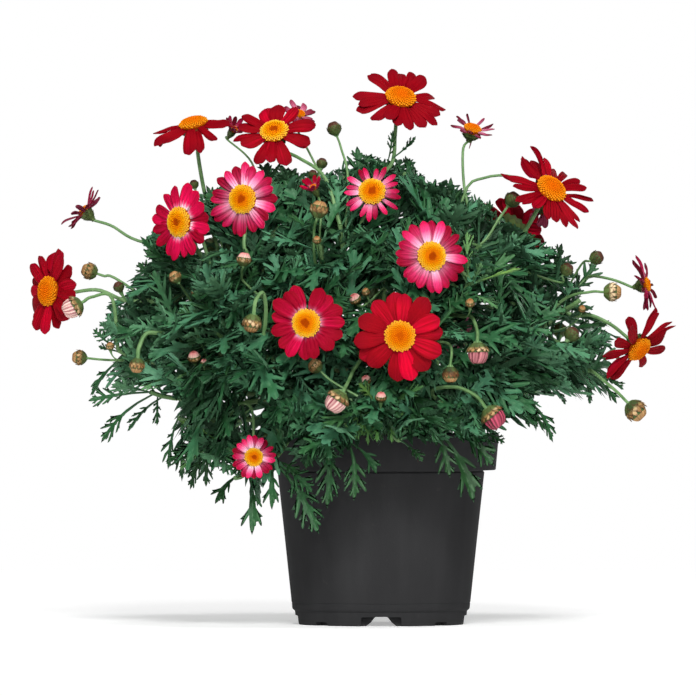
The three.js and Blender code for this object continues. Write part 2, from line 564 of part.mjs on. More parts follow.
// One layer of petals: its outline and ridge points, in order round the head.
function petalLayer(head, points, phase, level, seed) {
  const n = head.petals;
  const radius = head.size / 2;
  const half = SHOULDER_ANGLE * (head.slim || 1) * (7 / n);
  const add = (angle, share, lift) => {
    const z = level + petalRise(head, share) + lift;
    points.push([share * radius * Math.cos(angle), share * radius * Math.sin(angle), z]);
    return points.length - 1;
  };
  const rows = { valley: [], left: [], tip: [], right: [], ridge: [] };
  for (let i = 0; i < n; i += 1) {
    const angle = phase + (2 * Math.PI * i) / n;
    const long = 0.96 + 0.06 * noise(seed, i);
    const sway = 0.05 * (noise(seed, i + 40) - 0.5);
    rows.valley.push(add(angle - Math.PI / n, VALLEY_SHARE, 0));
    rows.left.push(add(angle - half, SHOULDER_SHARE * long, 0));
    rows.tip.push(add(angle + sway, long, 0));
    rows.right.push(add(angle + half, SHOULDER_SHARE * long, 0));
    rows.ridge.push(add(angle, RIDGE_SHARE, PETAL_THICKNESS));
  }
  return rows;
}

// The upper faces of petal i outside the valleys, and its flat underside.
function petalTop({ valley, left, tip, right, ridge }, i) {
  const next = valley[(i + 1) % valley.length];
  const g = ridge[i];
  return [[valley[i], left[i], g], [left[i], tip[i], g], [tip[i], right[i], g], [right[i], next, g]];
}

function petalUnderside({ valley, left, tip, right }, i) {
  const next = valley[(i + 1) % valley.length];
  return [[valley[i], tip[i], left[i]], [valley[i], next, tip[i]], [next, right[i], tip[i]]];
}

// Two layers of petals on one hub, as one closed surface.
function rays(head, seed) {
  const n = head.petals;
  const points = [];
  const upper = petalLayer(head, points, 0, LOWER + LAYERS, seed);
  const lower = petalLayer(head, points, Math.PI / n, LOWER, seed + 9);
  const hub = [];
  for (let i = 0; i < n; i += 1) {
    const angle = ((2 * i - 1) * Math.PI) / n;
    const r = HUB_SHARE * (head.size / 2);
    hub.push(points.push([r * Math.cos(angle), r * Math.sin(angle), LOWER + LAYERS / 2]) - 1);
  }
  const top = points.push([0, 0, LOWER + LAYERS + HUB_LIFT]) - 1;
  const under = points.push([0, 0, GAP]) - 1;
  const faces = [];
  for (let i = 0; i < n; i += 1) {
    const k = (i + 1) % n;
    const [a, b] = [upper, lower];
    faces.push([top, a.valley[i], a.ridge[i]], [top, a.ridge[i], a.valley[k]], ...petalTop(a, i));
    faces.push([hub[i], a.valley[k], a.valley[i]], [hub[i], hub[k], a.valley[k]], ...petalUnderside(a, i));
    faces.push([hub[i], b.valley[i], hub[k]], [hub[k], b.valley[i], b.ridge[i]]);
    faces.push([hub[k], b.ridge[i], b.valley[k]], ...petalTop(b, i));
    faces.push([under, b.valley[k], b.valley[i]], ...petalUnderside(b, i));
  }
  return solid(geometryOf(points, faces));
}

// The disc of florets: a low dome in rings, whose points stand up and sink in turn.
function disc(head) {
  const radius = (head.size / 2) * DISC_SHARE;
  const slope = Math.max(0, PETAL_THICKNESS - HUB_LIFT + petalRise(head, RIDGE_SHARE)) / RIDGE_SHARE;
  const base = LOWER + LAYERS + HUB_LIFT + GAP + slope * DISC_SHARE;
  const height = head.color === "pink" ? 2.4 : 3.4;
  const n = DISC_SIDES;
  const points = [];
  DISC_RINGS.forEach(([share, up], row) => {
    for (let i = 0; i < n; i += 1) {
      const relief = row && (i + row) % 2 ? 1.06 : 0.96;
      const a = (2 * Math.PI * (i + row / 2)) / n;
      const r = share * radius * relief;
      points.push([r * Math.cos(a), r * Math.sin(a), base + height * up * relief]);
    }
  });
  const crown = points.push([0, 0, base + height * DISC_CROWN]) - 1;
  const last = (DISC_RINGS.length - 1) * n;
  const faces = [];
  for (let i = 0; i < n; i += 1) {
    const k = (i + 1) % n;
    for (let ring = 0; ring < last; ring += n) {
      faces.push([ring + i, ring + k, ring + n + i], [ring + k, ring + n + k, ring + n + i]);
    }
    faces.push([last + i, last + k, crown]);
  }
  for (let i = 1; i < n - 1; i += 1) faces.push([0, i + 1, i]);
  return solid(geometryOf(points, faces));
}

// A young or folded head as one body: one ring of petals and the disc among them.
function foldedHead(head, seed) {
  const n = head.petals;
  const points = [];
  const layer = petalLayer(head, points, 0, LOWER + HUB_LIFT, seed);
  const top = points.push([0, 0, LOWER + HUB_LIFT + FOLDED_DISC]) - 1;
  const under = points.push([0, 0, GAP]) - 1;
  const faces = [];
  for (let i = 0; i < n; i += 1) {
    const k = (i + 1) % n;
    faces.push([top, layer.valley[i], layer.ridge[i]], [top, layer.ridge[i], layer.valley[k]]);
    faces.push([under, layer.valley[k], layer.valley[i]]);
    faces.push(...petalTop(layer, i), ...petalUnderside(layer, i));
  }
  return solid(geometryOf(points, faces));
}

// Leaves

// Half of a leaf's outline: station along the midrib, and distance from it as a share of the half width.
// After the stalk come two lobes with two teeth each, and the end lobe.
const LEAF_EDGE = [
  [0.28, 0.12], [0.47, 0.86], [0.6, 0.8], [0.51, 0.2], [0.76, 1], [0.88, 0.82], [0.77, 0.24],
];
const LEAF_RIDGE = [0.46, 0.77];

// Where leaf k of a shoot grows, the way it points, and how long it is.
function leafAt(shoot, seed, k) {
  const place = (k + 0.5) / LEAVES_ON_A_SHOOT;
  const t = 1 - LEAFY_SHARE * Math.pow(place, 1.1);
  const axis = shoot.curve.getTangent(t);
  const side = V(0, 0, 1).cross(axis).normalize();
  const over = axis.clone().cross(side);
  const turn = k * GOLDEN_ANGLE + seed + 0.5 * noise(seed, k);
  const spread = LEAF_OPEN.spread * (noise(seed, k + 50) - 0.5);
  const open = radians(mix(LEAF_OPEN.young, LEAF_OPEN.old, Math.pow(place, 0.55)) + spread);
  const growth = mix(LEAF_GROWTH.youngest, 1, Math.min(1, (k + 0.5) / LEAF_GROWTH.places));
  const length = LEAF_LENGTH * growth * mix(LEAF_GROWTH.least, LEAF_GROWTH.most, noise(seed, k + 100));
  const sag = mix(LEAF_SAG.least, LEAF_SAG.most, noise(seed, k + 150));
  return { root: pointOn(shoot, t), axis, side, over, turn, open, length, sag };
}

// The midrib of a leaf, as a curve, with a little change of its turn, opening, sag and length.
function midrib(leaf, change) {
  const turn = leaf.turn + change.turn;
  const open = leaf.open + change.open;
  const aim = leaf.axis.clone().multiplyScalar(Math.cos(open));
  aim.addScaledVector(leaf.side, Math.sin(open) * Math.cos(turn));
  aim.addScaledVector(leaf.over, Math.sin(open) * Math.sin(turn));
  const length = leaf.length * change.length;
  const sag = (leaf.sag + change.sag) * length * (0.35 + Math.hypot(aim.x, aim.y));
  const middle = leaf.root.clone().addScaledVector(aim, length * 0.5);
  const end = leaf.root.clone().addScaledVector(aim, length * 0.97).add(V(0, 0, -sag));
  return new THREE.QuadraticBezierCurve3(leaf.root.clone(), middle, end);
}

// The points of a leaf: outline from the root round the tip and back, then the ridge above and below.
function leafPoints(leaf, rib, length) {
  const facingUp = leaf.axis.clone().add(V(0, 0, 0.35));
  const across = rib.getPoint(1).sub(leaf.root).cross(facingUp).normalize();
  const half = length * LEAF_HALF_WIDTH;
  const at = (s, w, lift) => {
    const up = across.clone().cross(rib.getTangent(s)).normalize();
    const p = rib.getPoint(s).addScaledVector(across, w * half);
    return p.addScaledVector(up, lift + LEAF_LIFT * Math.abs(w) * half).toArray();
  };
  const right = LEAF_EDGE.map(([s, w]) => at(s, w, 0));
  const left = LEAF_EDGE.map(([s, w]) => at(s, -w, 0)).reverse();
  const above = LEAF_RIDGE.map((s) => at(s, 0, LEAF_THICKNESS / 2));
  const below = LEAF_RIDGE.map((s) => at(s, 0, -LEAF_THICKNESS / 2));
  return [at(0, 0, 0), ...right, at(1, 0, 0), ...left, ...above, ...below];
}

// The faces of a leaf, split alike above and below.
const LEAF_FACES = (() => {
  const [root, tip] = [0, 8];
  const half = (edge, ridge) => [
    [root, edge(0), ridge(0)], ...[0, 1, 2, 3, 4, 5].map((i) => [ridge(0), edge(i), edge(i + 1)]),
    [ridge(0), edge(6), ridge(1)], [ridge(1), edge(6), tip],
  ];
  const turnOver = (faces) => faces.map(([a, b, c]) => [a, c, b]);
  const rightEdge = (i) => 1 + i;
  const leftEdge = (i) => 15 - i;
  const above = (i) => 16 + i;
  const below = (i) => 18 + i;
  return [
    ...half(rightEdge, above), ...turnOver(half(leftEdge, above)),
    ...turnOver(half(rightEdge, below)), ...half(leftEdge, below),
  ];
})();

function insideOutline([u, v]) {
  let inside = false;
  CROWN_OUTLINE.forEach(([u1, v1], i) => {
    const [u2, v2] = CROWN_OUTLINE[(i + 1) % CROWN_OUTLINE.length];
    if (v1 > v !== v2 > v && u < u1 + ((v - v1) / (v2 - v1)) * (u2 - u1)) inside = !inside;
  });
  return inside;
}

const CLEAR = { behind: 4, ahead: 25, aside: 0.56, sight: 0.47, bud: 0.6 }; // the last three of the size

// Does a point stand before a head's face, or hide it or a bud from the front?
function hidesFlower(p) {
  const hidesHead = HEADS.some((head) => {
    const aim = facing(head);
    const middle = fromPhoto(head.at);
    const way = p.clone().sub(middle);
    const ahead = way.dot(aim);
    const aside = Math.sqrt(Math.max(way.lengthSq() - ahead * ahead, 0));
    const near = ahead > -CLEAR.behind && ahead < CLEAR.ahead;
    if (near && aside < head.size * CLEAR.aside) return true;
    if (aim.y > -0.2) return false;
    const before = -ahead / aim.y; // along the line of sight, from the point back to the head's plane
    if (before < 0) return false;
    return p.clone().addScaledVector(V(0, 1, 0), before).distanceTo(middle) < head.size * CLEAR.sight;
  });
  return hidesHead || BUDS.some((item) => {
    const q = fromPhoto(item.at);
    return p.y < q.y && Math.hypot(p.x - q.x, p.z - q.z) < item.size * CLEAR.bud;
  });
}

// What is tried for a leaf, in turn, until it stands clear.
const CHANGES = [
  { turn: 0, open: 0, sag: 0, length: 1 }, { turn: 0.3, open: 0, sag: 0, length: 1 },
  { turn: -0.3, open: 0.1, sag: 0, length: 1 }, { turn: 0, open: -0.25, sag: -0.1, length: 1 },
  { turn: 0, open: 0.2, sag: 0.15, length: 0.95 }, { turn: 0.55, open: 0, sag: 0.1, length: 0.9 },
  { turn: -0.55, open: 0, sag: -0.1, length: 0.9 }, { turn: 0.2, open: -0.3, sag: 0.2, length: 0.8 },
];

const overlaps = (a, b) =>
  a.min[0] < b.max[0] && b.min[0] < a.max[0] && a.min[1] < b.max[1] && b.min[1] < a.max[1] &&
  a.min[2] < b.max[2] && b.min[2] < a.max[2];

// Everything placed so far, so that a new leaf is kept clear of it.
const standing = [];

function stand(owner, made) {
  standing.push({ owner, made, box: made.boundingBox() });
}

// A leaf may run into the tubes of its own stem, but into nothing else.
function isClear(made, owner) {
  const box = made.boundingBox();
  const others = standing.filter((s) => s.owner !== owner && overlaps(s.box, box));
  return others.every((s) => s.made.intersect(made).isEmpty());
}

function growLeaf(owner, shoot, seed, k) {
  const leaf = leafAt(shoot, seed, k);
  for (const change of CHANGES) {
    const rib = midrib(leaf, change);
    const points = leafPoints(leaf, rib, leaf.length * change.length);
    const outline = points.slice(2, 15).map((p) => V(...p));
    const outward = rib.getPoint(1).sub(leaf.root).dot(leaf.root.clone().sub(CROWN_CENTRE));
    if (outward < 0) return null;
    if (outline.some((p) => !insideOutline(toPhoto(p)) || hidesFlower(p))) continue;
    const made = solid(geometryOf(points, LEAF_FACES));
    if (isClear(made, owner)) return made;
  }
  return null;
}

// A leaf that arches from part way along a shoot to its tip.
function loneLeaf({ from, share, tip }) {
  const root = pointOn(SHOOTS[from[0]][from[1]], share);
  const end = fromPhoto(tip);
  const away = end.clone().sub(root);
  const length = away.length();
  const arch = V(0.2 * away.x, -0.6, 1).normalize().multiplyScalar(LEAF_ARCH * length);
  const rib = new THREE.QuadraticBezierCurve3(root, root.clone().lerp(end, 0.5).add(arch), end);
  const axis = V((0.3 * away.x) / length, -0.8, 1).normalize();
  return solid(geometryOf(leafPoints({ root, axis }, rib, length), LEAF_FACES));
}

const nodeName = (kind, i) => kind + "_" + String(i + 1).padStart(2, "0");

function headPieces(head, i) {
  const matrix = frameAt(headBase(head), facing(head), 2 * Math.PI * noise(i, 7)).elements;
  if (head.closed) return [["head", foldedHead(head, i).transform(matrix), PETAL_PAINTS[head.color]]];
  return [
    ["rays", rays(head, i).transform(matrix), PETAL_PAINTS[head.color]],
    ["disc", disc(head).transform(matrix), DISC_PAINT],
  ];
}

// Plant

const POT_AXIS = V(18.7, -4.3, 0); // from the origin, on the floor under the middle of the whole plant
const plant = new THREE.Group();
plant.position.copy(POT_AXIS);

const potSolid = pot();
const soilSolid = soil();
stand("pot", potSolid);
stand("soil", soilSolid);
plant.add(meshOf(potSolid, "pot", POT_PAINT), meshOf(soilSolid, "soil", SOIL_PAINT));

HEADS.forEach((head, i) => {
  headPieces(head, i).forEach(([part, made, material]) => {
    const name = nodeName("bloom", i) + "_" + part;
    stand(name, made);
    plant.add(meshOf(made, name, material));
  });
});

const stems = STEMS.map((_, i) => SHOOTS[i].flatMap((_, which) => shootTubes(i, which)));
stems.forEach((pieces, i) => pieces.forEach((made) => stand(i, made)));

for (const leaf of LONE_LEAVES) {
  const made = loneLeaf(leaf);
  if (isClear(made, leaf.from[0])) {
    stems[leaf.from[0]].push(made);
    stand("leaf", made);
  }
}

// How many leaves shoot j of a stem gets: whole numbers that keep to the mean.
const leavesDue = (j) => Math.floor(MEAN_LEAVES * (j + 1)) - Math.floor(MEAN_LEAVES * j);

function growPlace(place, i, j, counts) {
  if (counts[j] === leavesDue(j)) return;
  const made = growLeaf(i, SHOOTS[i][j], 10 * i + j + 1, place);
  if (!made) return;
  counts[j] += 1;
  stems[i].push(made);
  stand("leaf", made);
}

const counts = SHOOTS.map((shoots) => shoots.map(() => 0));
for (const place of LEAF_PLACES) {
  counts.forEach((onStem, i) => onStem.forEach((_, j) => growPlace(place, i, j, onStem)));
}

stems.forEach((pieces, i) => {
  plant.add(meshOf(wasm.Manifold.union(pieces), nodeName("leafy_stem", i), LEAF_PAINT));
});

export default plant;
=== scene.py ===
"""Potted marguerite daisy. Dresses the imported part: fine leaves, ribbed stalks, petals, florets and buds,
a moulded nursery pot and crumbly compost, in the places that the part's own rule gives them."""

import math
from dataclasses import dataclass

import bpy
import numpy as np
from mathutils import Matrix, Vector
from mathutils.geometry import delaunay_2d_cdt


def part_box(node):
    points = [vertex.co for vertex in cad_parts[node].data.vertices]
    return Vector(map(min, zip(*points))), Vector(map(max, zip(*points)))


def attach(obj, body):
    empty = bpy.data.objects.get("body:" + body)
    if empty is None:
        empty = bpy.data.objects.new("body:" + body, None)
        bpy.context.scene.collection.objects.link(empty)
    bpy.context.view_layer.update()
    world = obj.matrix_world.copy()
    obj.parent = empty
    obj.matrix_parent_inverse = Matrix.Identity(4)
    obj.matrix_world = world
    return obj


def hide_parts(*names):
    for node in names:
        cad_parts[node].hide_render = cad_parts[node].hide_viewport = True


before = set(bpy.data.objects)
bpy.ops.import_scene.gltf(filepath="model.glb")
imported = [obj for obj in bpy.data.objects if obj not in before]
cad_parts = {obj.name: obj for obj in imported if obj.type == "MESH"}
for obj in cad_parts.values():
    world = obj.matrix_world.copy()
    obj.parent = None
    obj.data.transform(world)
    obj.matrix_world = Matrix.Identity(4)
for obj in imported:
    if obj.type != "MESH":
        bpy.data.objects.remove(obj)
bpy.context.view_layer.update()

# Millimetres from the pot's axis, as in the part's source, unless a name says metres.
MM = 0.001
pot_low, pot_high = (np.array(corner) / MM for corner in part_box("pot"))
POT_AXIS = np.array([(pot_low[0] + pot_high[0]) / 2, (pot_low[1] + pot_high[1]) / 2, 0])
POT_HEIGHT = pot_high[2]
RIM_RADIUS = (pot_high[0] - pot_low[0]) / 2
SOIL_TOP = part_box("soil")[1][2] / MM

# Pot
WALL = 1.2
COLLAR_RADIUS = 68.1
COLLAR_FOOT = POT_HEIGHT - 21.6
BODY_TOP_RADIUS = 61.3
BODY_FOOT_RADIUS = 52.6
FOOT_TOP_RADIUS = 51.1
FOOT_RADIUS = 50.2
FOOT_HEIGHT = 9.2
FOOT_STEP = 1.2
FOOT_WALL = 1.6
CHANNEL = {"height": 5.6, "top": 8.6, "waist": 12.2, "waist_height": 2.2, "bottom": 17.8}
NOTCH = {"width": 23.6, "height": 5.4, "depth": 12}
SMALL_NOTCH = {"width": 10, "height": 2.2, "depth": 10}
DRAIN = {"radius": 4, "ring": 30, "count": 4, "reach": 4, "sides": 32}
LINE_HEIGHT = 13  # of the faint moulded line round the body
LINE_DEPTH = 0.25
GROOVE_HEIGHT = 1.3  # of the groove round the body under the collar
GROOVE_DEPTH = 0.6
POT_SIDES = 96

# Stems
CUP_TOP = -0.5
CUP_HEIGHT = 4
CUP_RADIUS = 0.13
STEM_RADIUS = 2.7
SHOOT_RADIUS = 1.7
SHOOT_TAPER = 0.85
STALK_RADIUS = {"least": 0.45, "by_size": 0.0115}
BUD_STALK_RADIUS = {"least": 0.1, "by_size": 0.068}
STEM_LEAN = 40
SHOOT_RISE = 0.45
SHOOT_OUT = 0.4
SHOOT_BACK = 0.32
SIDE_SHOOT_START = 0.42
SIDE_SHOOT_STEP = 0.09
SIDE_SHOOT_LIFT = 0.3
FILL = {"lowest": 0.36, "highest": 0.92}  # where the small shoots leave the main one
STALK_START = 0.78
STALK_RUN = 0.15  # how far a stalk runs straight into a head or bud, of its size
STALK_STEPS = 22
CROWN_CENTRE = np.array([-20, 0, 140])

# Leaves
GOLDEN_ANGLE = math.pi * (3 - math.sqrt(5))
LEAF_LENGTH = 62
LEAF_THICKNESS = 0.55
LEAF_CHANNEL = -0.35  # height of the veins against the rim
LEAF_FOLD = {"least": 0.05, "most": 0.36}
LEAF_TWIST = 0.9
LEAF_WAVE = 0.22
LEAF_OPEN = {"young": 24, "old": 78, "spread": 14}
LEAF_SAG = {"least": 0.04, "most": 0.27}
LEAF_GROWTH = {"youngest": 0.5, "places": 5, "least": 0.86, "most": 1.08}
LEAFY_SHARE = 0.62
LEAF_SEED_STEP = 10
LEAVES_ON_A_SHOOT = 17
CLEAR = {"behind": 5, "ahead": 25, "aside": 0.56, "sight": 0.47, "bud": 0.6, "stalk": 2.6}
BARE = {"depth": 40, "from": 0.3}  # stalks in front of this depth are bare from this share of their length

# The plant was measured on a photograph of its front, in pixels. The eye is level with pixel 348, 348.
MM_PER_PIXEL = 0.593
IMAGE_WIDTH = 696
EYE = {"u": 348, "v": 348, "distance": 5500}
POT_PIXEL = {"u": 381, "v": 624}

# Stems: where they leave the soil (radius and angle), then the tips of the main shoot, of its side shoots,
# and of the small shoots that fill the crown, each as pixel u, v and depth y.
STEMS = [
    ((23, 172), (150, 300, -5), [(118, 350, -35), (180, 250, 15)], [(165, 252, -15), (140, 330, 20),
     (150, 272, 40), (190, 275, -30)]),
    ((23, -125), (205, 367, -80), [(150, 392, -55), (172, 335, -72)], [(195, 400, -85), (215, 330, -88),
     (240, 345, -88), (230, 300, -78)]),
    ((23, -157), (215, 440, -68), [(178, 418, -45), (235, 478, -75)], [(266, 460, -82), (200, 410, -60)]),
    ((11, -165), (215, 275, -45), [(200, 320, -30), (245, 250, -72)], [(190, 240, -35), (225, 240, -20),
     (240, 300, -75), (262, 262, -65), (205, 215, 0)]),
    ((11, 140), (262, 205, 5), [(210, 208, 25), (300, 195, -10)], [(213, 205, 5), (280, 190, 40),
     (270, 230, -40), (300, 225, -30), (245, 222, -10)]),
    ((11, -115), (285, 300, -92), [(258, 350, -90), (320, 240, -72)], [(330, 285, -80), (300, 270, -60),
     (350, 330, -90), (275, 390, -95), (345, 300, -40), (350, 350, -60), (320, 385, -80)]),
    ((11, 80), (365, 185, -10), [(340, 225, -62), (390, 180, 35)], [(345, 172, 5), (405, 172, -5),
     (360, 250, -45), (385, 220, -35), (330, 195, 40), (365, 290, -40), (350, 215, -20)]),
    ((23, -90), (379, 408, -112), [(318, 432, -98), (430, 420, -100)], [(350, 400, -100), (390, 372, -95),
     (345, 440, -100), (400, 440, -100), (385, 350, -60), (360, 380, -70)]),
    ((12, -62), (470, 283, -90), [(435, 330, -98), (405, 260, -78)], [(385, 290, -75), (415, 295, -85),
     (450, 260, -60), (375, 325, -85), (440, 370, -95), (380, 300, -20), (420, 325, -50)]),
    ((11, 12), (470, 215, 0), [(520, 240, -25), (445, 225, -52)], [(435, 195, 10), (500, 222, 25),
     (480, 245, -50), (505, 270, -50)]),
    ((23, -10), (565, 310, -10), [(585, 280, 30), (590, 370, -15)], [(560, 262, 10), (600, 330, 10),
     (555, 350, -35), (580, 300, -30)]),
    ((23, -54), (520, 395, -72), [(478, 430, -88), (530, 330, -62)], [(490, 375, -85), (550, 385, -50),
     (500, 330, -80), (465, 405, -98)]),
    ((23, 130), (245, 285, 98), [(165, 380, 58), (305, 360, 112), (230, 425, 78), (300, 215, 72),
     (175, 300, 62), (300, 435, 98)], [(220, 240, 70), (340, 300, 105), (345, 235, 80), (250, 350, 100),
     (190, 350, 80)]),
    ((23, 48), (440, 290, 102), [(545, 380, 58), (385, 345, 110), (495, 425, 78), (465, 225, 66),
     (540, 290, 66), (415, 435, 98)], [(400, 225, 70), (510, 250, 60), (490, 340, 95), (420, 260, 90),
     (350, 400, 105)]),
]
# Shoots, as stem and number, whose young leaves are still yellow-green.
FRESH_SHOOTS = {(7, 0), (8, 0), (1, 0), (2, 0)}
# Shoots whose lower leaves are gone, so that light falls through them.
SPARSE_SHOOTS = {(1, 1), (2, 0), (2, 1), (2, 2), (2, 4), (11, 0)}
SPARSE_LEAVES = 8

# Leaves that hang or stand alone at the edge of the crown: stem and shoot, how far along it, and where the
# leaf's tip is.
LONE_LEAVES = [
    (2, 3, 0.9, 319, 534, -90), (2, 3, 1.0, 313, 493, -92), (2, 0, 0.98, 190, 490, -64),
    (2, 0, 1.0, 206, 487, -66), (0, 1, 1.0, 93, 329, -38), (2, 3, 0.92, 299, 475, -90),
    (2, 2, 0.68, 215, 504, -74), (2, 0, 0.9, 165, 462, -60), (2, 2, 0.75, 252, 535, -80),
    (2, 1, 0.95, 182, 482, -50), (2, 1, 1.0, 168, 470, -45), (1, 1, 1.0, 88, 401, -50),
    (1, 1, 0.97, 101, 443, -52), (1, 1, 0.9, 127, 432, -54), (1, 1, 0.94, 157, 426, -60),
    (2, 3, 0.84, 272, 510, -86), (0, 1, 0.97, 98, 346, -36), (0, 1, 0.94, 90, 396, -30),
    (7, 1, 1.0, 327, 509, -104), (7, 1, 0.94, 306, 470, -100), (7, 5, 1.0, 354, 501, -106),
    (7, 5, 0.97, 377, 474, -106), (7, 6, 1.0, 423, 462, -108), (7, 2, 0.9, 474, 503, -104),
    (7, 2, 1.0, 494, 466, -106), (7, 2, 0.96, 450, 478, -104), (11, 1, 1.0, 494, 455, -94),
    (11, 1, 0.97, 505, 443, -92), (11, 0, 1.0, 553, 443, -74), (11, 0, 0.97, 545, 430, -76),
    (11, 0, 0.94, 530, 428, -70), (11, 4, 1.0, 566, 405, -52), (10, 2, 1.0, 624, 390, -20),
    (10, 2, 0.96, 617, 404, -18), (10, 4, 1.0, 626, 345, 8), (10, 4, 0.95, 622, 366, 0),
    (10, 2, 0.9, 590, 405, -24), (6, 3, 0.62, 357, 146, 2), (6, 3, 0.5, 374, 158, 8),
    (6, 4, 0.62, 410, 158, -8), (6, 4, 0.5, 420, 176, -12), (9, 3, 0.62, 451, 177, 8),
    (9, 3, 0.5, 462, 190, 14), (9, 4, 0.62, 490, 199, 24), (9, 4, 0.5, 504, 216, 30),
    (4, 5, 0.9, 268, 162, 6), (4, 5, 0.8, 288, 167, 10), (4, 3, 0.7, 206, 185, 8),
    (8, 3, 0.95, 346, 312, -62), (8, 4, 0.9, 362, 318, -66), (10, 3, 0.65, 562, 243, 12),
    (10, 1, 0.7, 597, 262, 34), (0, 3, 0.65, 140, 236, -18), (0, 5, 0.7, 138, 262, 44),
    (10, 0, 0.85, 595, 305, -20), (10, 0, 0.8, 612, 322, -10), (6, 2, 0.7, 384, 160, 20),
    (4, 3, 0.6, 222, 186, 0), (9, 1, 0.7, 532, 232, -24), (9, 4, 0.6, 478, 198, 18),
]
# Young leaves round a shoot's tip.
YOUNG_LEAVES = [
    (7, 0, 0.97, 344, 428, -122), (7, 0, 0.99, 352, 441, -122), (7, 0, 0.96, 368, 446, -124),
    (7, 0, 1.0, 392, 444, -122), (7, 0, 0.98, 409, 430, -120), (7, 0, 0.99, 350, 414, -120),
    (7, 0, 0.95, 404, 415, -118), (7, 0, 0.97, 361, 436, -124), (7, 0, 0.96, 382, 432, -124),
    (8, 0, 0.99, 458, 262, -100), (8, 0, 0.97, 468, 256, -100), (8, 0, 0.96, 481, 262, -102),
    (8, 0, 0.98, 487, 274, -102), (8, 0, 0.97, 462, 300, -102), (8, 0, 0.95, 452, 284, -100),
    (1, 0, 0.98, 224, 388, -92), (1, 0, 0.96, 216, 392, -90), (1, 0, 0.99, 228, 376, -92),
]
# Leaves that grow from a stalk: stem, root and tip.
STALK_LEAVES = [(6, (386, 168, -10), (393, 130, -14)), (6, (392, 158, -10), (416, 136, -6))]


@dataclass
class Head:
    """A daisy head. Directions on its face are in degrees, anticlockwise from its right."""

    at: tuple  # pixel u, v and depth y
    bearer: tuple  # the shoot that bears it, as stem and number
    turn: float  # degrees that it faces to the side
    lift: float  # degrees that it faces up
    size: float
    rays: int
    cup: float  # how far the rays rise outwards
    curl: float  # how far they bend back
    color: str
    via: tuple = ()  # pixels that its stalk passes
    run: float = STALK_RUN
    bright: float = 1  # how bright the rays are: partly their own paler or deeper colour, partly painted shade that dims heads facing up into the lamps
    wild: float = 0.25  # how unevenly they grow
    full: float = 1  # how wide they are
    disc: float = 1  # how wide the disc is
    eye: float = 0  # how brown the disc's middle is and how yellow its florets are
    gaps: tuple = ()  # where the rays part, and by how many degrees
    rolled: tuple = ()  # sectors
    missing: tuple = ()  # sectors
    closed: bool = False
    thick: float = 1  # how thick the stalk is


@dataclass
class Bud:
    """A bud, which comes on from green through gold and pink to striped."""

    at: tuple  # pixel u, v and depth y
    bearer: tuple  # the shoot that bears it, as stem and number
    size: float
    kind: str
    via: tuple = ()  # pixels that its stalk passes
    run: float = STALK_RUN
    deep: float = 0.3  # how deep the colour of the petals is
    pale: float = 0.35  # how pale the scales are
    thick: float = 1  # how thick the stalk is


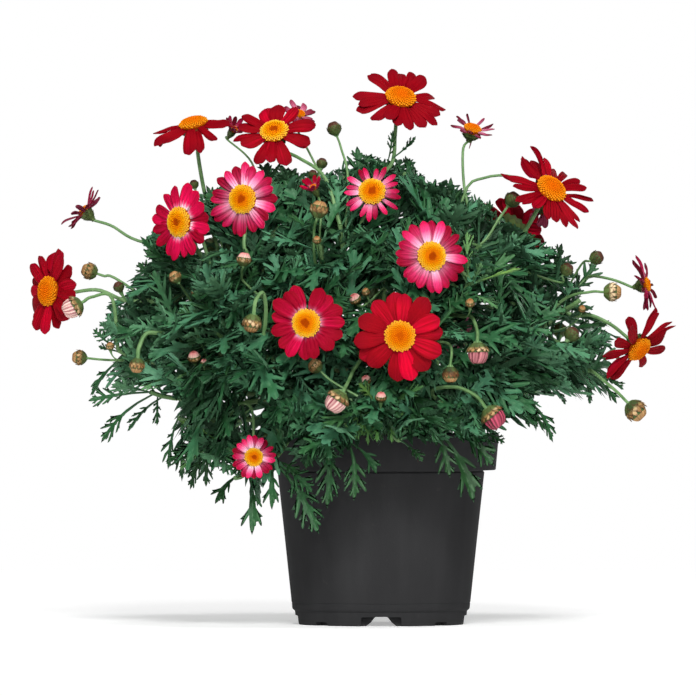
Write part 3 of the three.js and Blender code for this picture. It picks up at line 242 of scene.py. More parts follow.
# Heads, as in the part's source.
HEADS = [
    Head((193, 122, 0), (4, 1), -35, 68, 58, 16, 0.02, 0.5, "red", [(204, 190), (198, 155)], bright=0.3,
         wild=0.8, full=0.85, disc=0.78),
    Head((274, 130, -20), (6, 1), -11, 43, 52, 14, 0.05, 0.2, "red", [(325, 178), (299, 158)], bright=0.55,
         wild=0.55, full=0.9, disc=0.85, eye=1, gaps=[(-40, 9), (140, 7)]),
    Head((242, 199, -72), (3, 2), -25, 3, 45, 20, 0.06, 0.12, "pink", bright=0.88, eye=1),
    Head((178, 222, -62), (3, 0), -43, 0, 47, 17, 0.06, 0.12, "rose", bright=1.25, eye=1, gaps=[(120, 4)]),
    Head((372, 191, -75), (6, 1), -5, 17, 36, 18, 0.04, 0.25, "pink", bright=1.3, wild=0.4, full=0.62,
         disc=1.15, eye=1),
    Head((401, 96, -10), (6, 0), 16, 51, 58, 18, 0.04, 0.2, "red", [(391, 165), (395, 135)], bright=0.26,
         wild=0.6, full=0.92, disc=0.82, gaps=[(150, 6)]),
    Head((473, 127, 15), (9, 0), 29, 59, 28, 15, 0.35, 0.1, "faded", [(464, 185), (463, 150)], run=0.05,
         wild=1, full=0.42, rolled=[(40, 140)]),
    Head((552, 188, -38), (9, 1), 36, 38, 61, 23, 0.04, 0.25, "red", [(535, 214)], bright=0.45, wild=0.6,
         full=0.8, disc=0.8, rolled=[(85, 150), (-30, -5)]),
    Head((432, 256, -112), (8, 0), 17, 5, 45, 20, 0.06, 0.12, "pink", bright=0.92, eye=1),
    Head((306, 323, -132), (5, 0), -12, 0, 47, 15, 0.06, 0.12, "rose", bright=0.62, disc=0.92, eye=1,
         gaps=[(93, 8), (215, 4)]),
    Head((400, 336, -134), (8, 1), 0, 0, 55, 14, 0.06, 0.12, "red", bright=0.74, full=1.15, disc=0.85,
         eye=0.5, gaps=[(-115, 6), (35, 3)]),
    Head((254, 457, -100), (2, 0), 8, 5, 27, 19, 0.05, 0.15, "pink", [(238, 405), (251, 408), (253.5, 430)],
         bright=1.3, disc=1.05, eye=1),
    Head((47, 291, -15), (0, 0), -52, 4, 53, 17, 0.06, 0.2, "red", [(126, 301), (98, 290)], bright=0.74,
         wild=0.5, full=1.1, disc=0.88, rolled=[(75, 112)]),
    Head((82, 209, 10), (0, 2), -98, 43, 35, 17, 0.3, 0.3, "dark", [(136, 240), (112, 226)], run=0.05,
         wild=1, full=0.5, disc=0.6),
    Head((640, 350, -20), (10, 0), 50, -37, 60, 18, 0.1, 0.2, "red", [(574, 316), (590, 315), (610, 324)],
         bright=0.28, wild=0.9, full=0.72, disc=0.7, rolled=[(200, 262)], missing=[(270, 310)]),
    Head((649, 284, 15), (10, 1), 74, 12, 37, 19, 0.1, 0.3, "dark", [(592, 276), (614, 280)], run=0.05,
         wild=0.9, full=0.5, disc=0.6),
    Head((548, 212, 20), (9, 0), 150, -50, 27, 12, 0.3, 0.1, "dark", [(465, 192), (484, 178), (510, 176),
         (535, 186)], bright=0.5, wild=0.8),
    Head((235, 127, 34), (4, 0), 40, 45, 15, 11, 1.2, 0.3, "dark", [(252, 163)], closed=True),
    Head((300, 112, 18), (4, 2), 20, 50, 22, 12, 0.4, 0.3, "faded", [(318, 175), (313, 160)], wild=0.6,
         closed=True),
    Head((312, 185, -66), (5, 2), -40, 50, 14, 10, 1.2, 0.2, "rose", closed=True),
    Head((275, 262, 138), (12, 0), 195, 12, 48, 15, 0.06, 0.2, "red", gaps=[(60, 5)]),
    Head((445, 320, 145), (13, 0), 165, 5, 46, 19, 0.06, 0.15, "pink", eye=1),
    Head((515, 225, 105), (13, 4), 140, 35, 52, 15, 0.05, 0.25, "red", wild=0.5),
    Head((165, 330, 105), (12, 1), 215, 15, 42, 14, 0.06, 0.3, "rose", eye=1, closed=True),
]

# Buds, as in the part's source.
BUDS = [
    Bud((334, 128, -5), (6, 1), 8.5, "green", [(348, 180), (341, 148)]),
    Bud((319, 209, -92), (5, 2), 10.5, "gold", [(315, 262), (314, 232)]),
    Bud((244, 259, -95), (5, 0), 8.5, "pink", [(248, 286), (242, 274)]),
    Bud((252, 324, -112), (5, 1), 11, "gold", [(262, 345), (266, 312), (263, 293), (256, 300)], pale=0.5,
        thick=1.4),
    Bud((89, 271, -5), (0, 0), 10, "gold", [(120, 281), (104, 276)]),
    Bud((72, 308, -52), (0, 1), 13, "striped", [(112, 298), (92, 297)], deep=0.15),
    Bud((79, 357.5, -40), (0, 1), 9, "gold", [(108, 360)]),
    Bud((137, 366, -85), (1, 2), 9, "gold", [(158, 333), (146, 334), (139, 348)], thick=1.7),
    Bud((194, 357, -98), (1, 0), 7.5, "pink"),
    Bud((175, 277, -75), (3, 1), 7.5, "gold", [(190, 300), (181, 286)]),
    Bud((336, 402, -138), (5, 0), 14, "striped", [(358, 352), (352, 373), (344, 390)], deep=0.2),
    Bud((315, 366, -112), (7, 0), 8.5, "gold", [(350, 392), (330, 380)]),
    Bud((450.5, 375, -125), (8, 1), 9.5, "gold", [(450, 345)], pale=-0.3),
    Bud((478, 354, -122), (8, 0), 13, "striped", [(470, 316), (477, 330)], deep=0.75),
    Bud((494, 418, -118), (11, 1), 14.5, "striped", [(432, 394), (455, 387), (476, 396)], deep=1),
    Bud((513, 199, -30), (9, 2), 9.5, "green", [(478, 245), (500, 217)]),
    Bud((597, 257.5, 5), (10, 1), 8.5, "green", [(581, 265)]),
    Bud((613, 292, -15), (10, 0), 11, "gold", [(563, 300), (590, 292)], pale=1.2),
    Bud((567, 269, -30), (9, 1), 8, "green", [(558, 282)]),
    Bud((636, 411, -35), (10, 2), 13, "gold", [(597, 375), (616, 391)]),
    Bud((572, 334, -50), (11, 2), 9, "green"),
    Bud((381, 397, -128), (7, 0), 6.5, "pink"),
    Bud((210, 245, 92), (12, 4), 9, "green"),
    Bud((375, 300, 138), (12, 2), 10, "gold"),
    Bud((560, 330, 105), (13, 1), 9, "green"),
]
# Buds too small for the part, on shoots' tips.
SMALL_BUDS = [
    Bud((322, 163, -2), (4, 2), 6.5, "green"),
    Bud((313, 174, -14), (4, 2), 5.5, "green"),
    Bud((194, 184, 8), (4, 3), 5.5, "green"),
    Bud((195, 292, -70), (3, 0), 4.5, "gold"),
    Bud((118.6, 286.6, -25), (0, 0), 6.5, "green"),
    Bud((110, 346, -52), (0, 1), 5, "gold"),
    Bud((204, 362, -100), (1, 0), 4, "pink"),
    Bud((355, 299, -92), (8, 3), 7, "pink"),
    Bud((366, 292, -92), (8, 3), 5, "gold"),
    Bud((366, 380, -112), (7, 4), 6, "pink"),
    Bud((470, 303, -108), (8, 0), 5.5, "gold"),
    Bud((582, 309, -40), (10, 0), 4.5, "gold"),
    Bud((317, 240, -92), (5, 2), 5, "gold"),
]

# Outline of the foliage from the front, in pixels.
CROWN_OUTLINE = np.array([
    (100, 392), (104, 376), (114, 358), (92, 334), (104, 306), (126, 281), (140, 270), (140, 238),
    (152, 228), (190, 195), (215, 185), (268, 163), (290, 166), (330, 172), (356, 147), (376, 156),
    (416, 142), (420, 172), (452, 180), (490, 200), (502, 215), (544, 238), (580, 256), (582, 296),
    (612, 322), (624, 345), (620, 402), (566, 404), (540, 394), (544, 416), (550, 438), (512, 424),
    (500, 446), (470, 454), (430, 447), (395, 446), (350, 454), (330, 474), (296, 464), (276, 478),
    (262, 512), (244, 512), (232, 480), (216, 470), (198, 488), (182, 480), (168, 458), (174, 404),
    (156, 390), (128, 398),
], float)


def noise(seed, k):
    """A repeatable random value from 0 to 1."""
    s = math.sin(seed * 12.9898 + k * 78.233) * 43758.5453
    return s - math.floor(s)


def mix(a, b, t):
    return a + (b - a) * t


def vec(*values):
    return np.array(values, float)


def unit(v):
    return v / np.maximum(np.linalg.norm(v, axis=-1, keepdims=True), 1e-9)


def turned(x, y, z, angle):
    """Points turned about the Z axis."""
    c, s = math.cos(angle), math.sin(angle)
    return np.stack([x * c - y * s, x * s + y * c, z], axis=-1)


def from_photo(u, v, y):
    """The point at depth y that the photograph shows at pixel u, v."""
    spread = (EYE["distance"] + y) / EYE["distance"]
    x = (EYE["u"] - POT_PIXEL["u"] + (u - EYE["u"]) * spread) * MM_PER_PIXEL
    return vec(x, y, (POT_PIXEL["v"] - EYE["v"] + (EYE["v"] - v) * spread) * MM_PER_PIXEL)


def to_photo(points):
    """The pixels that show points."""
    spread = (EYE["distance"] + points[:, 1]) / EYE["distance"]
    u = EYE["u"] + (points[:, 0] / MM_PER_PIXEL + POT_PIXEL["u"] - EYE["u"]) / spread
    v = EYE["v"] - (points[:, 2] / MM_PER_PIXEL - POT_PIXEL["v"] + EYE["v"]) / spread
    return np.stack([u, v], axis=1)


# Curves


def bezier(control, t):
    """Points of a Bezier curve at the shares t."""
    n = len(control) - 1
    t = np.atleast_1d(np.asarray(t, float))[:, None]
    return sum(math.comb(n, i) * (1 - t) ** (n - i) * t**i * control[i] for i in range(n + 1))


def bezier_tangent(control, t):
    return unit(bezier([b - a for a, b in zip(control, control[1:])], t))


def spline(points, t):
    """Points of a curve that runs evenly through points, at the shares t of their count."""
    p = np.array(points, float)
    p = np.vstack([2 * p[0] - p[1], p, 2 * p[-1] - p[-2]])
    at = np.clip(np.asarray(t, float) * (len(points) - 1), 0, len(points) - 1)
    i = np.minimum(at.astype(int), len(points) - 2)
    w = (at - i)[:, None]
    p0, p1, p2, p3 = p[i], p[i + 1], p[i + 2], p[i + 3]
    m1, m2 = (p2 - p0) / 2, (p3 - p1) / 2
    h = (2 * w**3 - 3 * w**2 + 1, w**3 - 2 * w**2 + w, 3 * w**2 - 2 * w**3, w**3 - w**2)
    return h[0] * p1 + h[1] * m1 + h[2] * p2 + h[3] * m2


# Mesh making


def add_object(name, data):
    """A new object in the scene."""
    made = bpy.data.objects.new(name, data)
    bpy.context.scene.collection.objects.link(made)
    return made


def looks_of(*values):
    """Looks from four numbers, each for all points or a row with one for each."""
    return np.stack(np.broadcast_arrays(*values), axis=1).astype(float)


class Build:
    """Points and faces of one piece, with four numbers at each point that its materials read."""

    def __init__(self):
        self.points, self.looks, self.faces, self.slots = [], [], [], []
        self.count = 0

    def add(self, points, faces, looks, slot=0):
        """Adds points, lists of faces with a slot for all or for each, and looks for all or for each."""
        points = np.asarray(points, float)
        self.points.append(points)
        self.looks.append(np.broadcast_to(np.asarray(looks, float), (len(points), 4)))
        slots = slot if isinstance(slot, tuple) else (slot,) * len(faces)
        for some, where in zip(faces, slots):
            if len(some):
                self.faces.append(np.asarray(some, int) + self.count)
                self.slots.append(np.full(len(some), where))
        self.count += len(points)

    def object(self, name, materials, sharp=50):
        mesh = bpy.data.meshes.new(name)
        points = (np.concatenate(self.points) + POT_AXIS) * MM
        corners = np.concatenate([some.ravel() for some in self.faces])
        sizes = np.concatenate([np.full(len(some), some.shape[1]) for some in self.faces])
        mesh.vertices.add(len(points))
        mesh.vertices.foreach_set("co", points.ravel())
        mesh.loops.add(len(corners))
        mesh.loops.foreach_set("vertex_index", corners)
        mesh.polygons.add(len(sizes))
        mesh.polygons.foreach_set("loop_start", np.cumsum(sizes) - sizes)
        mesh.polygons.foreach_set("material_index", np.concatenate(self.slots))
        mesh.update(calc_edges=True)
        look = mesh.attributes.new("look", "FLOAT_COLOR", "POINT")
        look.data.foreach_set("color", np.concatenate(self.looks).ravel())
        mesh.shade_smooth()
        mesh.set_sharp_from_angle(angle=math.radians(sharp))
        for material in materials:
            mesh.materials.append(material)
        return add_object(name, mesh)


def grid_faces(rows, columns, closed=False):
    """Quads between rows of points, wrapped round where closed."""
    wide = columns if closed else columns - 1
    i, j = np.meshgrid(np.arange(rows - 1), np.arange(wide), indexing="ij")
    a, b = i * columns + j, i * columns + (j + 1) % columns
    return np.stack([a, b, b + columns, a + columns], axis=-1).reshape(-1, 4)


def ring_face(start, sides, way=1):
    """One face over a ring of points, turned over where way is -1."""
    return np.arange(start, start + sides)[None, ::way]


def frames_along(points):
    """Two directions across each point of a path, turning as little as they can."""
    tangents = unit(np.gradient(points, axis=0))
    across = np.empty_like(points)
    way = vec(1, 0.13, 0.21)
    for i, tangent in enumerate(tangents):
        way = unit(way - tangent * np.dot(way, tangent))
        across[i] = way
    return across, np.cross(tangents, across)


def tube(build, points, radii, sides, looks):
    """A ribbed shoot or stalk along a path, with closed ends."""
    across, beside = frames_along(points)
    angles = 2 * math.pi * np.arange(sides) / sides
    ribs = 1 - RIB * (np.arange(sides) % 2)
    rings = np.asarray(radii, float)[:, None] * ribs[None, :]
    turns = np.stack([np.cos(angles), np.sin(angles)], axis=1)[None, :, :, None]
    offsets = across[:, None, :] * turns[:, :, 0] + beside[:, None, :] * turns[:, :, 1]
    made = (points[:, None, :] + offsets * rings[:, :, None]).reshape(-1, 3)
    ends = [ring_face(0, sides, -1), ring_face(len(made) - sides, sides)]
    faces = [grid_faces(len(points), sides, True), *ends]
    build.add(made, faces, np.repeat(looks, sides, axis=0), STEM_SLOTS["stem"])


def turned_rings(profile, sides):
    """Points of a surface turned about the Z axis from radius and height pairs."""
    angles = 2 * math.pi * np.arange(sides) / sides
    radius, height = np.array(profile, float).T
    x = radius[:, None] * np.cos(angles)
    y = radius[:, None] * np.sin(angles)
    return np.stack([x, y, np.broadcast_to(height[:, None], x.shape)], axis=-1).reshape(-1, 3)


# Stems and stalks


def shoot_curve(start, out, tip):
    length = np.linalg.norm(tip - start)
    aim = unit(unit(tip - CROWN_CENTRE) + vec(0, 0, SHOOT_RISE))
    return [start, start + out * SHOOT_OUT * length, tip - aim * SHOOT_BACK * length, tip]


def shoots_of(root, tip, sides, fill):
    """The curves of a stem's shoots: the main one from the soil, and the others from part way up it."""
    radius, angle = root[0], math.radians(root[1])
    start = vec(radius * math.cos(angle), radius * math.sin(angle), SOIL_TOP)
    main = shoot_curve(start, unit(vec(start[0], start[1], STEM_LEAN)), from_photo(*tip))
    shoots = [main]
    starts = [SIDE_SHOOT_START + SIDE_SHOOT_STEP * i for i in range(len(sides))]
    starts += np.linspace(FILL["lowest"], FILL["highest"], len(fill)).tolist()
    for share, side in zip(starts, sides + fill):
        begin = bezier(main, share)[0]
        end = from_photo(*side)
        shoots.append(shoot_curve(begin, unit(unit(end - begin) + vec(0, 0, SIDE_SHOOT_LIFT)), end))
    return shoots


SHOOTS = [shoots_of(*stem) for stem in STEMS]


def facing(head):
    turn, lift = math.radians(head.turn), math.radians(head.lift)
    return vec(math.sin(turn) * math.cos(lift), -math.cos(turn) * math.cos(lift), math.sin(lift))


def bearer_of(item):
    stem, which = item.bearer
    return SHOOTS[stem][which]


def stalk_points(item, end, aim, terminal):
    """The points of a stalk from its shoot to its end. A terminal stalk goes on from the shoot's tip."""
    shoot = bearer_of(item)
    start = bezier(shoot, 1 if terminal else STALK_START)[0]
    distance = np.linalg.norm(end - start)
    t = np.linspace(0, 1, STALK_STEPS)
    if not item.via:
        away = unit(end - start)
        out = unit(mix(bezier_tangent(shoot, 1)[0], away, 0.3)) if terminal else away
        return bezier([start, start + out * 0.35 * distance, end - aim * 0.38 * distance, end], t)
    count = len(item.via)
    passed = [from_photo(u, v, mix(start[1], end[1], (i + 1) / (count + 1)))
              for i, (u, v) in enumerate(item.via)]
    near = np.linalg.norm(end - passed[-1])
    last = end - aim * min(item.run * item.size, 0.4 * near)
    return spline([start, *passed, last, end], t)


HEAD_BACK = 3.6  # from a head's face back to the top of its cup
BUD_FOOT = 0.46  # from a bud's middle to the end of its stalk, of its length


def head_base(head):
    return from_photo(*head.at) - facing(head) * HEAD_BACK


def bud_frame(item):
    """A bud's middle and the way that it points."""
    middle = from_photo(*item.at)
    if item.via:
        before = from_photo(*item.via[-1], item.at[2])
    else:
        tip = bezier(bearer_of(item), 1)[0]
        before = mix(tip, vec(middle[0], middle[1], middle[2] - 25), 0.6)
    return middle, unit(middle - before)


def axes_of(aim, spin=0.0):
    """Directions right, up and ahead with the last along an aim, turned about it."""
    right = np.cross(vec(0, 0, 1), aim)
    right = unit(right) if np.linalg.norm(right) > 1e-3 else vec(1, 0, 0)
    up = np.cross(aim, right)
    c, s = math.cos(spin), math.sin(spin)
    return np.stack([right * c + up * s, up * c - right * s, aim])


def carried_by(stem, which):
    return [item for item in HEADS + BUDS + SMALL_BUDS if item.bearer == (stem, which)]


def stalk_of(item, order):
    """The points of the stalk of a head or bud. The first one on a shoot goes on from the shoot's tip."""
    if isinstance(item, Head):
        aim = facing(item)
        end = head_base(item) + aim * (CUP_TOP - CUP_HEIGHT)
    else:
        middle, aim = bud_frame(item)
        end = middle - aim * item.size * BUD_FOOT
    return stalk_points(item, end, aim, order == 0)


def bare_stalks():
    """Points on the stalks that stand before the leaves."""
    found = []
    for stem, shoots in enumerate(SHOOTS):
        for which in range(len(shoots)):
            for order, item in enumerate(carried_by(stem, which)):
                if item.via and item.at[2] < BARE["depth"]:
                    path = stalk_of(item, order)
                    found.append(path[int(BARE["from"] * len(path)):])
    return np.concatenate(found)


BARE_STALKS = bare_stalks()
STEM_SUNK = 12  # how far a stem goes on under the top of the soil
RIB = 0.1  # how deep shoots and stalks are ribbed, of their radius
SHOOT_SIDES = 10
STALK_SIDES = 12
STALK_TAPER = {"foot": 1.12, "end": 0.95}
SWELL = {"head": CUP_RADIUS * 0.5, "bud": 0.24, "from": 0.86, "over": 0.14}  # of a stalk into what it bears
STEM_SLOTS = {"leaf": 0, "leaf back": 1, "stem": 2, "scale": 3, "bud": 4}


def draw_shoots(build, stem, which):
    """A shoot's tube and the stalks of what it carries. The first number of a look is how green it is."""
    main = which == 0
    t = np.linspace(0, 1, 20 if main else 12)
    points = bezier(SHOOTS[stem][which], t)
    if main:
        points = np.vstack([points[0] - vec(0, 0, STEM_SUNK), points])
        t = np.concatenate([[0], t])
    radii = mix(STEM_RADIUS if main else SHOOT_RADIUS, SHOOT_RADIUS * SHOOT_TAPER, t)
    green = t * 0.7 if main else 0.35 + 0.35 * t
    tube(build, points, radii, SHOOT_SIDES, looks_of(green, t, noise(stem, which), 0))
    for order, item in enumerate(carried_by(stem, which)):
        sizes = STALK_RADIUS if isinstance(item, Head) else BUD_STALK_RADIUS
        radius = (sizes["least"] + sizes["by_size"] * item.size) * item.thick
        swell = item.size * SWELL["head" if isinstance(item, Head) else "bud"]
        path = stalk_of(item, order)
        share = np.linspace(0, 1, len(path))
        swollen = np.clip((share - SWELL["from"]) / SWELL["over"], 0, 1) ** 2
        radii = radius * mix(STALK_TAPER["foot"], STALK_TAPER["end"], share) + (swell - radius) * swollen
        tube(build, path, radii, STALK_SIDES, looks_of(0.75, share, 0.5, 0))


# Leaves

# Leaves of length 1 in two habits, feathered and wedge-shaped. Lobes on one side: place of the foot on the
# midrib, degrees forward of it, length and width. Midrib: places and half widths of the blade along it.
HABITS = [
    {
        "lobes": [(0.32, 52, 0.15, 0.044), (0.45, 47, 0.27, 0.058), (0.6, 41, 0.29, 0.062),
                  (0.76, 32, 0.17, 0.054)],
        "midrib": [(0, 0.016), (0.2, 0.018), (0.36, 0.026), (0.55, 0.034), (0.75, 0.036), (0.86, 0.034)],
    },
    {
        "lobes": [(0.43, 44, 0.22, 0.058), (0.58, 37, 0.3, 0.066), (0.74, 30, 0.19, 0.058)],
        "midrib": [(0, 0.016), (0.28, 0.02), (0.44, 0.036), (0.6, 0.052), (0.76, 0.048), (0.87, 0.038)],
    },
]
LEAF_END = [(0.92, 0.03), (0.965, 0.013)]
LOBE_CURVE = 16  # degrees that a lobe turns towards the leaf's tip
TOOTH = {"out": 0.03, "share": {1: 0.85, -1: 0.4}}
WEDGE_SHARE = 0.5
NO_FIRST_LOBE = 0.45  # share of the leaves that lack their lowest lobe on a side
BLADE_LOOK = 0.55  # how near a point between the veins counts as being to one
LEAF_VARIANTS = 10
PLAIN_VARIANTS = 4
WELD = 0.002  # points nearer than this in a flat leaf are one


def lobe_outline(lobe, seed, plain):
    """The outline of a lobe on the +Y side, anticlockwise from its inner foot, and its vein."""
    foot, degrees, length, width = lobe
    length *= mix(0.82, 1.16, noise(seed, 1))
    degrees += 14 * (noise(seed, 2) - 0.5)
    foot += 0.03 * (noise(seed, 3) - 0.5)
    half = width / 2 * mix(0.86, 1.14, noise(seed, 4))

    def at(along, aside):
        a = math.radians(degrees - LOBE_CURVE * along)
        b = math.radians(degrees - LOBE_CURVE * along / 2)
        middle = vec(foot, 0) + vec(math.cos(b), math.sin(b)) * along * length
        return middle + vec(-math.sin(a), math.cos(a)) * aside

    def edge(side):
        if plain:
            return [at(0.02, side * 0.8 * half), at(0.6, side * half)]
        start = mix(0.4, 0.52, noise(seed, 5 + side))
        found = [at(0.02, side * 0.75 * half), at(start, side * half)]
        if noise(seed, 8 + side) < TOOTH["share"][side]:
            found += [at(start + 0.24, side * (half + TOOTH["out"])), at(start + 0.22, side * 0.75 * half)]
        return found + [at(0.88, side * 0.56 * half)]

    tip = [at(1, 0)] if plain else [at(0.98, -0.24 * half), at(0.98, 0.24 * half)]
    vein = [vec(foot, 0)] if plain else [vec(foot, 0), at(0.45, 0), at(0.85, 0)]
    return edge(-1) + tip + edge(1)[::-1], vein


def leaf_template(seed, plain=False):
    """A flat leaf of length 1: points, triangles, and how near each point is to a vein, 0 on the rim."""
    habit = HABITS[1 if noise(seed, 40) < WEDGE_SHARE else 0]
    points, edges, lobes = [], [], []

    def take_in(found):
        start = len(points)
        points.extend(Vector(p) for p in found)
        return list(range(start, len(points)))

    spine = take_in([(s, 0) for s in ((0.02, 0.4, 0.7) if plain else (0.02, 0.2, 0.4, 0.6, 0.78, 0.93))])
    edges += zip(spine, spine[1:])
    for side in (1, -1):
        for i, lobe in enumerate(habit["lobes"]):
            key = seed * 20 + side * 5 + i
            if i == 0 and noise(key, 9) < NO_FIRST_LOBE:
                continue
            rim, vein = lobe_outline(lobe, key, plain)
            flip = vec(1, side)
            inside = take_in([p * flip for p in vein])
            edges += zip(inside, inside[1:])
            lobes.append([p * flip for p in rim][::side])
    veins = len(points)
    sides = [vec(*p) for p in (habit["midrib"][::2] if plain else habit["midrib"] + LEAF_END)]
    blade = [p * vec(1, -1) for p in sides] + [vec(1, 0)] + sides[::-1]
    outlines = [take_in(rim) for rim in [*lobes, blade]]
    made = delaunay_2d_cdt(points, edges, outlines, 1, WELD)
    flat = np.array([tuple(p) for p in made[0]])
    triangles = np.array([face for face, source in zip(made[2], made[5]) if source])
    a, b, c = (flat[triangles[:, i]] for i in range(3))
    area = (b[:, 0] - a[:, 0]) * (c[:, 1] - a[:, 1]) - (b[:, 1] - a[:, 1]) * (c[:, 0] - a[:, 0])
    triangles[area < 0] = triangles[area < 0][:, ::-1]
    directed = set()
    for x, y, z in triangles.tolist():
        directed.update(((x, y), (y, z), (z, x)))
    vein = np.array([1.0 if any(i < veins for i in source) else BLADE_LOOK for source in made[3]])
    for x, y in directed:
        if (y, x) not in directed:
            vein[[x, y]] = 0
    used = np.unique(triangles)
    place = np.full(len(flat), -1)
    place[used] = np.arange(len(used))
    return flat[used], place[triangles], vein[used]


TEMPLATES = [leaf_template(seed) for seed in range(LEAF_VARIANTS)]
PLAIN_TEMPLATES = [leaf_template(seed, plain=True) for seed in range(PLAIN_VARIANTS)]
FRESH = {"leaves": 4, "width": 0.6}  # on a fresh shoot, how many leaves are young and how wide they are
PLAIN_FROM = 9  # the leaves low on a shoot, inside the crown, are plainer
SHORT_LEAF = 25
LONG_LEAF = 55

# What is tried for a leaf, one after another, until it stands clear: by how much it turns round the shoot,
# opens from it and sags, and how much of its length it keeps.
CHANGES = [
    (0, 0, 0, 1), (0.3, 0, 0, 1), (-0.3, 0.1, 0, 1), (0, -0.25, -0.1, 1), (0, 0.2, 0.15, 0.95),
    (0.55, 0, 0.1, 0.9), (-0.55, 0, -0.1, 0.9), (0.2, -0.3, 0.2, 0.8), (0.8, -0.1, 0, 0.75),
    (-0.8, -0.1, 0, 0.75), (0, 0, 0.1, 0.62),
]


def leaf_at(shoot, seed, k):
    """Where leaf k of a shoot grows, the way it points, and how long it is."""
    place = (k + 0.5) / LEAVES_ON_A_SHOOT
    t = 1 - LEAFY_SHARE * place**1.1
    axis = bezier_tangent(shoot, t)[0]
    side = unit(np.cross(vec(0, 0, 1), axis))
    spread = LEAF_OPEN["spread"] * (noise(seed, k + 50) - 0.5)
    growth = mix(LEAF_GROWTH["youngest"], 1, min(1, (k + 0.5) / LEAF_GROWTH["places"]))
    growth *= mix(LEAF_GROWTH["least"], LEAF_GROWTH["most"], noise(seed, k + 100))
    return {
        "root": bezier(shoot, t)[0], "axis": axis, "side": side, "over": np.cross(axis, side),
        "turn": k * GOLDEN_ANGLE + seed + 0.5 * noise(seed, k),
        "open": math.radians(mix(LEAF_OPEN["young"], LEAF_OPEN["old"], place**0.55) + spread),
        "length": LEAF_LENGTH * growth,
        "sag": mix(LEAF_SAG["least"], LEAF_SAG["most"], noise(seed, k + 150)),
        "twist": LEAF_TWIST * (noise(seed, k + 300) - 0.5),
        "fold": mix(LEAF_FOLD["least"], LEAF_FOLD["most"], noise(seed, k + 350)),
        "wave": LEAF_WAVE * noise(seed, k + 400),
    }


def midrib(leaf, turned_by, opened_by, sagged_by, kept):
    """The curve of a leaf's midrib and the leaf's length, with a change."""
    turn, spread = leaf["turn"] + turned_by, leaf["open"] + opened_by
    aside = leaf["side"] * math.cos(turn) + leaf["over"] * math.sin(turn)
    aim = leaf["axis"] * math.cos(spread) + aside * math.sin(spread)
    length = leaf["length"] * kept
    sag = (leaf["sag"] + sagged_by) * length * (0.35 + math.hypot(aim[0], aim[1]))
    root = leaf["root"]
    return [root, root + aim * length * 0.5, root + aim * length * 0.97 - vec(0, 0, sag)], length


def leaf_surface(leaf, rib, length, flat, lift):
    """The places of a flat leaf's points on its bent and twisted midrib, and the way up at each."""
    facing_up = leaf["axis"] * 0.7 + unit(rib[0] - CROWN_CENTRE) * 0.8 + vec(0, 0, 0.3)
    across = unit(np.cross(rib[-1] - rib[0], facing_up))
    up = unit(np.cross(across, bezier_tangent(rib, flat[:, 0])))
    turn = (leaf["twist"] * flat[:, 0])[:, None]
    across, up = across * np.cos(turn) + up * np.sin(turn), up * np.cos(turn) - across * np.sin(turn)
    aside = flat[:, 1:2] * length
    wave = leaf["wave"] * np.sin(9 * flat[:, 0] + leaf["turn"])[:, None]
    high = lift[:, None] + (leaf["fold"] + wave) * np.abs(aside)
    return bezier(rib, flat[:, 0]) + across * aside + up * high, up


def inside_outline(pixels):
    """Which pixels are inside the outline of the foliage."""
    inside = np.zeros(len(pixels), bool)
    u, v = pixels.T
    for (u1, v1), (u2, v2) in zip(CROWN_OUTLINE, np.roll(CROWN_OUTLINE, -1, axis=0)):
        crosses = (v1 > v) != (v2 > v)
        inside ^= crosses & (u < u1 + (v - v1) / (v2 - v1 if v2 != v1 else 1) * (u2 - u1))
    return inside


def hides_flower(points):
    """Does any point stand before a head's face, or hide it, a bud or a stalk from the front?"""
    for head in HEADS:
        aim, middle = facing(head), from_photo(*head.at)
        way = points - middle
        ahead = way @ aim
        aside = np.sqrt(np.maximum((way**2).sum(1) - ahead**2, 0))
        near = (ahead > -CLEAR["behind"]) & (ahead < CLEAR["ahead"])
        if (near & (aside < head.size * CLEAR["aside"])).any():
            return True
        if aim[1] > -0.2:
            continue
        back = ahead / aim[1]
        seen = np.linalg.norm(points - np.outer(back, vec(0, 1, 0)) - middle, axis=1)
        if ((back <= 0) & (seen < head.size * CLEAR["sight"])).any():
            return True
    for item in BUDS:
        q = from_photo(*item.at)
        near = np.hypot(points[:, 0] - q[0], points[:, 2] - q[2]) < item.size * CLEAR["bud"]
        if (near & (points[:, 1] < q[1])).any():
            return True
    way = points[::2, None, :] - BARE_STALKS[None, :, :]
    near = (np.abs(way[:, :, 0]) < CLEAR["stalk"]) & (np.abs(way[:, :, 2]) < CLEAR["stalk"])
    return (near & (way[:, :, 1] < 1)).any()


def meets_pot(points):
    """Does any point come into the pot's wall or its soil?"""
    radius = np.hypot(points[:, 0], points[:, 1])
    in_wall = (points[:, 2] < POT_HEIGHT + 1.5) & (radius < RIM_RADIUS + 2) & (radius > COLLAR_RADIUS - 14)
    in_soil = (points[:, 2] < SOIL_TOP + 1) & (radius < RIM_RADIUS)
    return (in_wall | in_soil).any()


